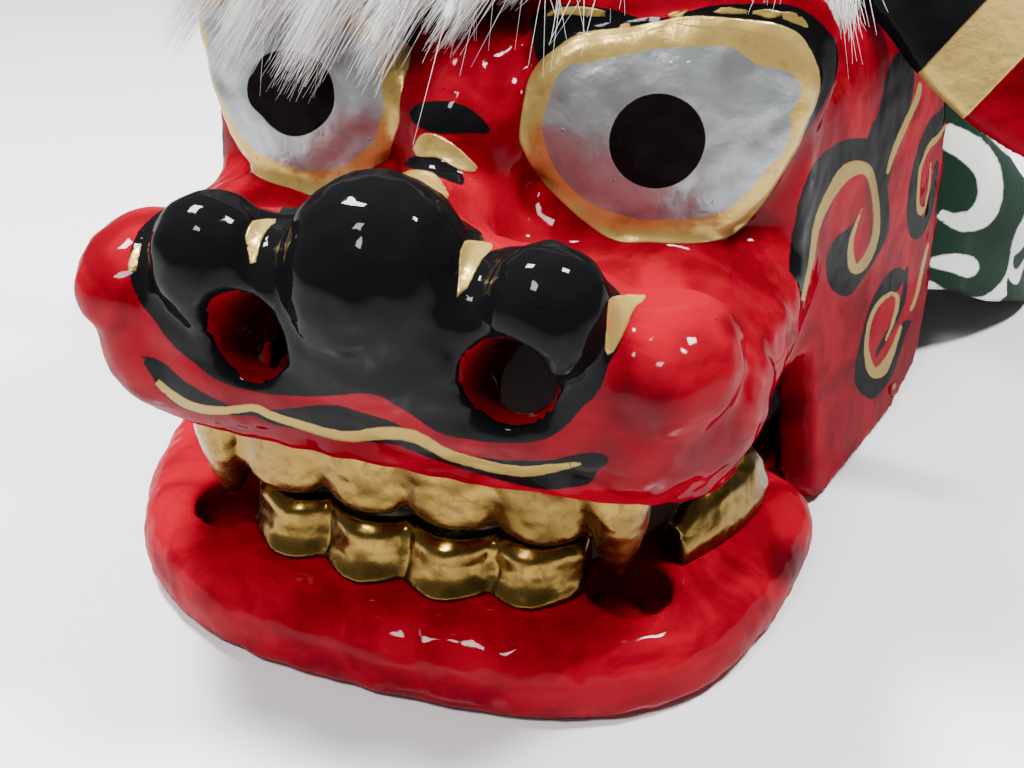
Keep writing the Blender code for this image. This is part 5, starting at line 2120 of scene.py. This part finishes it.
@dataclass
class ScrollPattern:
    """White plant scrolls on the cloth: curls on wandering stems, as signed depths."""

    # strokes seen beside the wall, in pixels of the reference view, with half widths
    seen: tuple[Rows, ...] = (
        ((946, 136, 13), (968, 148, 14), (984, 166, 13), (989, 190, 12), (982, 212, 12), (962, 222, 9),
         (940, 214, 5)),
        ((934, 262, 6), (950, 262, 9), (966, 266, 11)),
        ((926, 284, 5), (952, 299, 6), (980, 303, 6.5), (1000, 291, 6.5), (1012, 272, 6.5),
         (1018, 240, 6.5), (1030, 215, 6.5)),
        ((990, 130, 7), (1010, 150, 7), (1030, 160, 7)),
    )
    seen_reach: Box = ((100, 206, 8), (210, 262, 130))
    seen_margin: float = 4.0
    pitch: Span = (56.0, 50.0)
    rows: int = 6
    columns: int = 9
    stray: float = 5.0
    reach: float = 62.0
    curl_radius: float = 18.5
    half_turns: float = 2.35
    tightening: float = 0.66
    # how far a stem runs off its curl, and how far it bends
    stem: Span = (34.0, 16.0)
    half_stroke: float = 2.9
    # how much thicker a curl's last bit is, and a stem's share at its start and what it loses
    bud: float = 1.7
    stem_taper: Span = (0.85, 0.45)
    curl_points: int = 26
    stem_points: int = 12
    seed: int = 5

    def depth(self, points: Array, chart: Array) -> Array:
        """Measure how deep cloth points lie in the white.

        Args:
            points: The cloth's points in the drawing.
            chart: Their distance from the middle line along the arch, and distance back.

        Returns:
            One depth for each point.
        """
        flat, scale = CAMERA.project(points)
        low, high = (np.array(corner) for corner in self.seen_reach)
        window = np.min(np.minimum(points - low, high - points), axis=1)
        seen = np.full(len(points), -PAINT_DEPTH)
        near = window > -self.seen_margin
        for line in self.seen:
            stroke = smooth_line(line, 5)
            seen[near] = np.maximum(seen[near], depth_in_stroke(flat[near], stroke) * scale[near])
        drawn = self._repeat(chart)
        return np.clip(np.where(window > 0.0, seen, drawn), -PAINT_DEPTH, PAINT_DEPTH)

    def _repeat(self, chart: Array) -> Array:
        """Draw a curl and its stems in every cell of the chart.

        Args:
            chart: Distance along the arch and distance back.

        Returns:
            One depth for each point.
        """
        wide, tall = self.pitch
        rng = np.random.default_rng(self.seed)
        depth = np.full(len(chart), -PAINT_DEPTH)
        for row in range(self.rows):
            for column in range(self.columns):
                centre = np.array(((column + 0.5 * (row % 2)) * wide, row * tall))
                centre += rng.uniform(-self.stray, self.stray, 2)
                turn = 1 if (row + column) % 2 else -1
                phase = rng.uniform(0.0, 2 * math.pi)
                near = np.linalg.norm(chart - centre, axis=1) < self.reach
                if not near.any():
                    continue
                t = np.linspace(0.0, 1.0, self.curl_points)
                angle = phase + turn * t * self.half_turns * math.pi
                out = self.curl_radius * (1.0 - self.tightening * t)
                half = self.half_stroke * (0.8 + 0.4 * np.sin(t * 2.4))
                half[-2:] = self.half_stroke * self.bud
                curl = np.stack((
                    centre[0] + np.cos(angle) * out, centre[1] + np.sin(angle) * out, half,
                ), axis=1)
                t = np.linspace(0.0, 1.0, self.stem_points)
                leave = phase - turn * math.pi / 2
                run, bend = self.stem
                thick, thinner = self.stem_taper
                stem = np.stack((
                    curl[0, 0] + np.cos(leave) * run * t + np.cos(phase) * bend * t * t,
                    curl[0, 1] + np.sin(leave) * run * t + np.sin(phase) * bend * t * t,
                    self.half_stroke * (thick - thinner * t),
                ), axis=1)
                for stroke in (curl, stem):
                    depth[near] = np.maximum(depth[near], depth_in_stroke(chart[near], stroke))
        return depth


@dataclass(frozen=True)
class ScrollCotton:
    """Dyed cotton: soft-edged off-white scrolls on dark green."""

    name: str = "green_cotton"
    green: Three = (0.0015, 0.013, 0.006)
    green_light: Three = (0.003, 0.024, 0.011)
    white: Three = (0.74, 0.76, 0.72)

    def make(self) -> Finish:
        """Build the material.

        Returns:
            The material.
        """
        sheet = ShaderSheet(self.name)
        bleed = sheet.attribute("scroll") + (sheet.noise(3.0) - 0.5) * 0.9
        white = bleed.step(-0.45, 0.45)
        tone = sheet.noise(30.0, 3.0)
        green = sheet.mix(tone, self.green, self.green_light)
        weave = sheet.noise(0.9, 1.0) * 0.12 + sheet.noise(4.0) * 0.2
        return sheet.finish(
            Base_Color=sheet.mix(white, green, self.white), Roughness=0.85, Normal=sheet.bump(weave, 0.6),
            Sheen_Weight=0.04, Specular_IOR_Level=0.1,
        )


@dataclass(frozen=True)
class Lamp:
    """A soft box, placed and aimed in drawing millimetres."""

    place: Three
    aim: Three
    width: float
    height: float
    watts: float


@dataclass
class Studio:
    """A plain white floor under window-like soft boxes."""

    floor_size: float = 30.0
    floor_white: tuple[Three, Three] = ((0.84, 0.85, 0.86), (0.88, 0.88, 0.89))
    lamps: tuple[Lamp, ...] = (
        Lamp((-420, 180, 1000), (0, 20, 110), 0.17, 0.22, 36),
        Lamp((460, 160, 1050), (0, 20, 110), 0.14, 0.18, 23),
        Lamp((-150, -650, 1150), (0, 0, 30), 0.26, 0.2, 15),
    )
    # height from straight down to straight up, and brightness there
    sky: tuple[Span, ...] = ((0.0, 0.7), (0.52, 0.45), (0.62, 0.30), (0.8, 0.20), (1.0, 0.20))
    sky_tint: Three = (0.985, 0.995, 1.0)

    def build(self) -> None:
        """Add the floor, the lights, the sky and the camera."""
        self._floor()
        for number, lamp in enumerate(self.lamps):
            data = bpy.data.lights.new(f"soft_box_{number}", "AREA")
            data.shape = "RECTANGLE"
            data.size, data.size_y, data.energy = lamp.width, lamp.height, lamp.watts
            light = bpy.data.objects.new(data.name, data)
            bpy.context.scene.collection.objects.link(light)
            start, end = Vector(to_metres(lamp.place)), Vector(to_metres(lamp.aim))
            turn = (end - start).to_track_quat("-Z", "Y")
            light.matrix_world = Matrix.Translation(start) @ turn.to_matrix().to_4x4()
        self._sky()
        CAMERA.make()

    def _floor(self) -> None:
        """Lay the floor."""
        half = self.floor_size / 2
        data = bpy.data.meshes.new("table_top")
        corners = [(-half, -half, 0.0), (half, -half, 0.0), (half, half, 0.0), (-half, half, 0.0)]
        data.from_pydata(corners, [], [(0, 1, 2, 3)])
        floor = link("table_top", data)
        sheet = ShaderSheet("white_table")
        tone = sheet.noise(90.0)
        data.materials.append(sheet.finish(
            Base_Color=sheet.mix(tone, *self.floor_white), Roughness=0.17, Specular_IOR_Level=0.5,
        ))

    def _sky(self) -> None:
        """Make the surroundings bright at the horizon and dimmer overhead."""
        world = bpy.data.worlds.new("white_room")
        bpy.context.scene.world = world
        world.use_nodes = True
        nodes, links = world.node_tree.nodes, world.node_tree.links
        place = nodes.new("ShaderNodeTexCoord")
        split = nodes.new("ShaderNodeSeparateXYZ")
        links.new(place.outputs["Generated"], split.inputs[0])
        height = nodes.new("ShaderNodeMapRange")
        height.inputs["From Min"].default_value = -1.0
        links.new(split.outputs["Z"], height.inputs["Value"])
        ramp = nodes.new("ShaderNodeValToRGB")
        while len(ramp.color_ramp.elements) < len(self.sky):
            ramp.color_ramp.elements.new(0.5)
        for stop, (place_share, bright) in zip(ramp.color_ramp.elements, self.sky):
            stop.position = place_share
            stop.color = (*(bright * tint for tint in self.sky_tint), 1.0)
        links.new(height.outputs[0], ramp.inputs[0])
        links.new(ramp.outputs[0], nodes["Background"].inputs["Color"])
        sideways = nodes.new("ShaderNodeMapRange")
        for name, value in (("From Min", 0.1), ("From Max", 0.9), ("To Min", 1.0), ("To Max", 0.35)):
            sideways.inputs[name].default_value = value
        links.new(split.outputs["X"], sideways.inputs["Value"])
        links.new(sideways.outputs[0], nodes["Background"].inputs["Strength"])


def wear(piece: Piece, material: Finish, slot: str, *nodes: str) -> Piece:
    """Finish a piece of the head.

    Args:
        piece: The piece.
        material: Its finish.
        slot: The record's slot for that finish; it is not used.
        nodes: The plain solids that it stands for.

    Returns:
        The piece.
    """
    piece.data.materials.clear()
    piece.data.materials.append(material)
    if nodes:
        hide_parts(*nodes)
    return piece


# the jaw's deep and bright red, a little brighter than the head's: a brighter copy of the same lacquer,
# painted light for the stronger light on the jaw
LIT_JAW_REDS = ((0.16, 0.0, 0.006), (0.30, 0.0, 0.011))
# side, droop in degrees and plain solid of each ear, and the gap between the head and their roots
EARS = ((1, 33.0, "ear_left"), (-1, 12.0, "ear_right"))
EAR_GAP = 0.35


def main() -> None:
    """Build the looks of every piece round the frame."""
    lacquer, leaf, fur = PaintedLacquer().make(), GoldLeaf().make(), WhiteFur().make()
    cotton, bamboo = ScrollCotton().make(), Bamboo().make()
    head = wear(CarvedHead().build(), lacquer, "red_lacquer", "head_shell")
    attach(head, "head")
    LOG.info("carved head: %d faces", len(head.data.polygons))
    # painted light: the jaw wears a brighter copy of the head's lacquer
    lit_jaw_lacquer = PaintedLacquer("lit_jaw_lacquer", *LIT_JAW_REDS).make()
    jaw = wear(LowerJaw().build(), lit_jaw_lacquer, "red_lacquer", "jaw")
    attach(jaw, "jaw")
    for row in Teeth().build():
        node = row.name.removeprefix("gilt_")
        wear(row, leaf, "gold_leaf", node)
        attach(row, "jaw" if node.startswith("lower") else "head")
    cutter = SKULL.clearance("ear_seat", EAR_GAP)
    for side_sign, droop, node in EARS:
        ear = wear(Ear(side_sign, droop).build(cutter), lacquer, "red_lacquer", node)
        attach(ear, "head")
    bpy.data.objects.remove(cutter)
    for number, piece in enumerate(Mane(head, fur).build()):
        wear(piece, fur, "white_fur", *(("mane",) if number == 0 else ()))
        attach(piece, "head")
        LOG.info("%s: %d faces", piece.name, len(piece.data.polygons))
    for node in ("hinge_pin_left", "hinge_pin_right"):
        pin = frame["nodes"][node]
        pin.data.materials.clear()
        pin.data.materials.append(bamboo)
    cloth = wear(BodyCloth().build(), cotton, "green_cotton", "body_cloth")
    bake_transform(cloth)
    Studio().build()
    bpy.context.view_layer.update()
    LOG.info("size noted")


if __name__ == "__main__":
    logging.basicConfig(level=logging.INFO, format="%(name)s: %(message)s")
    main()
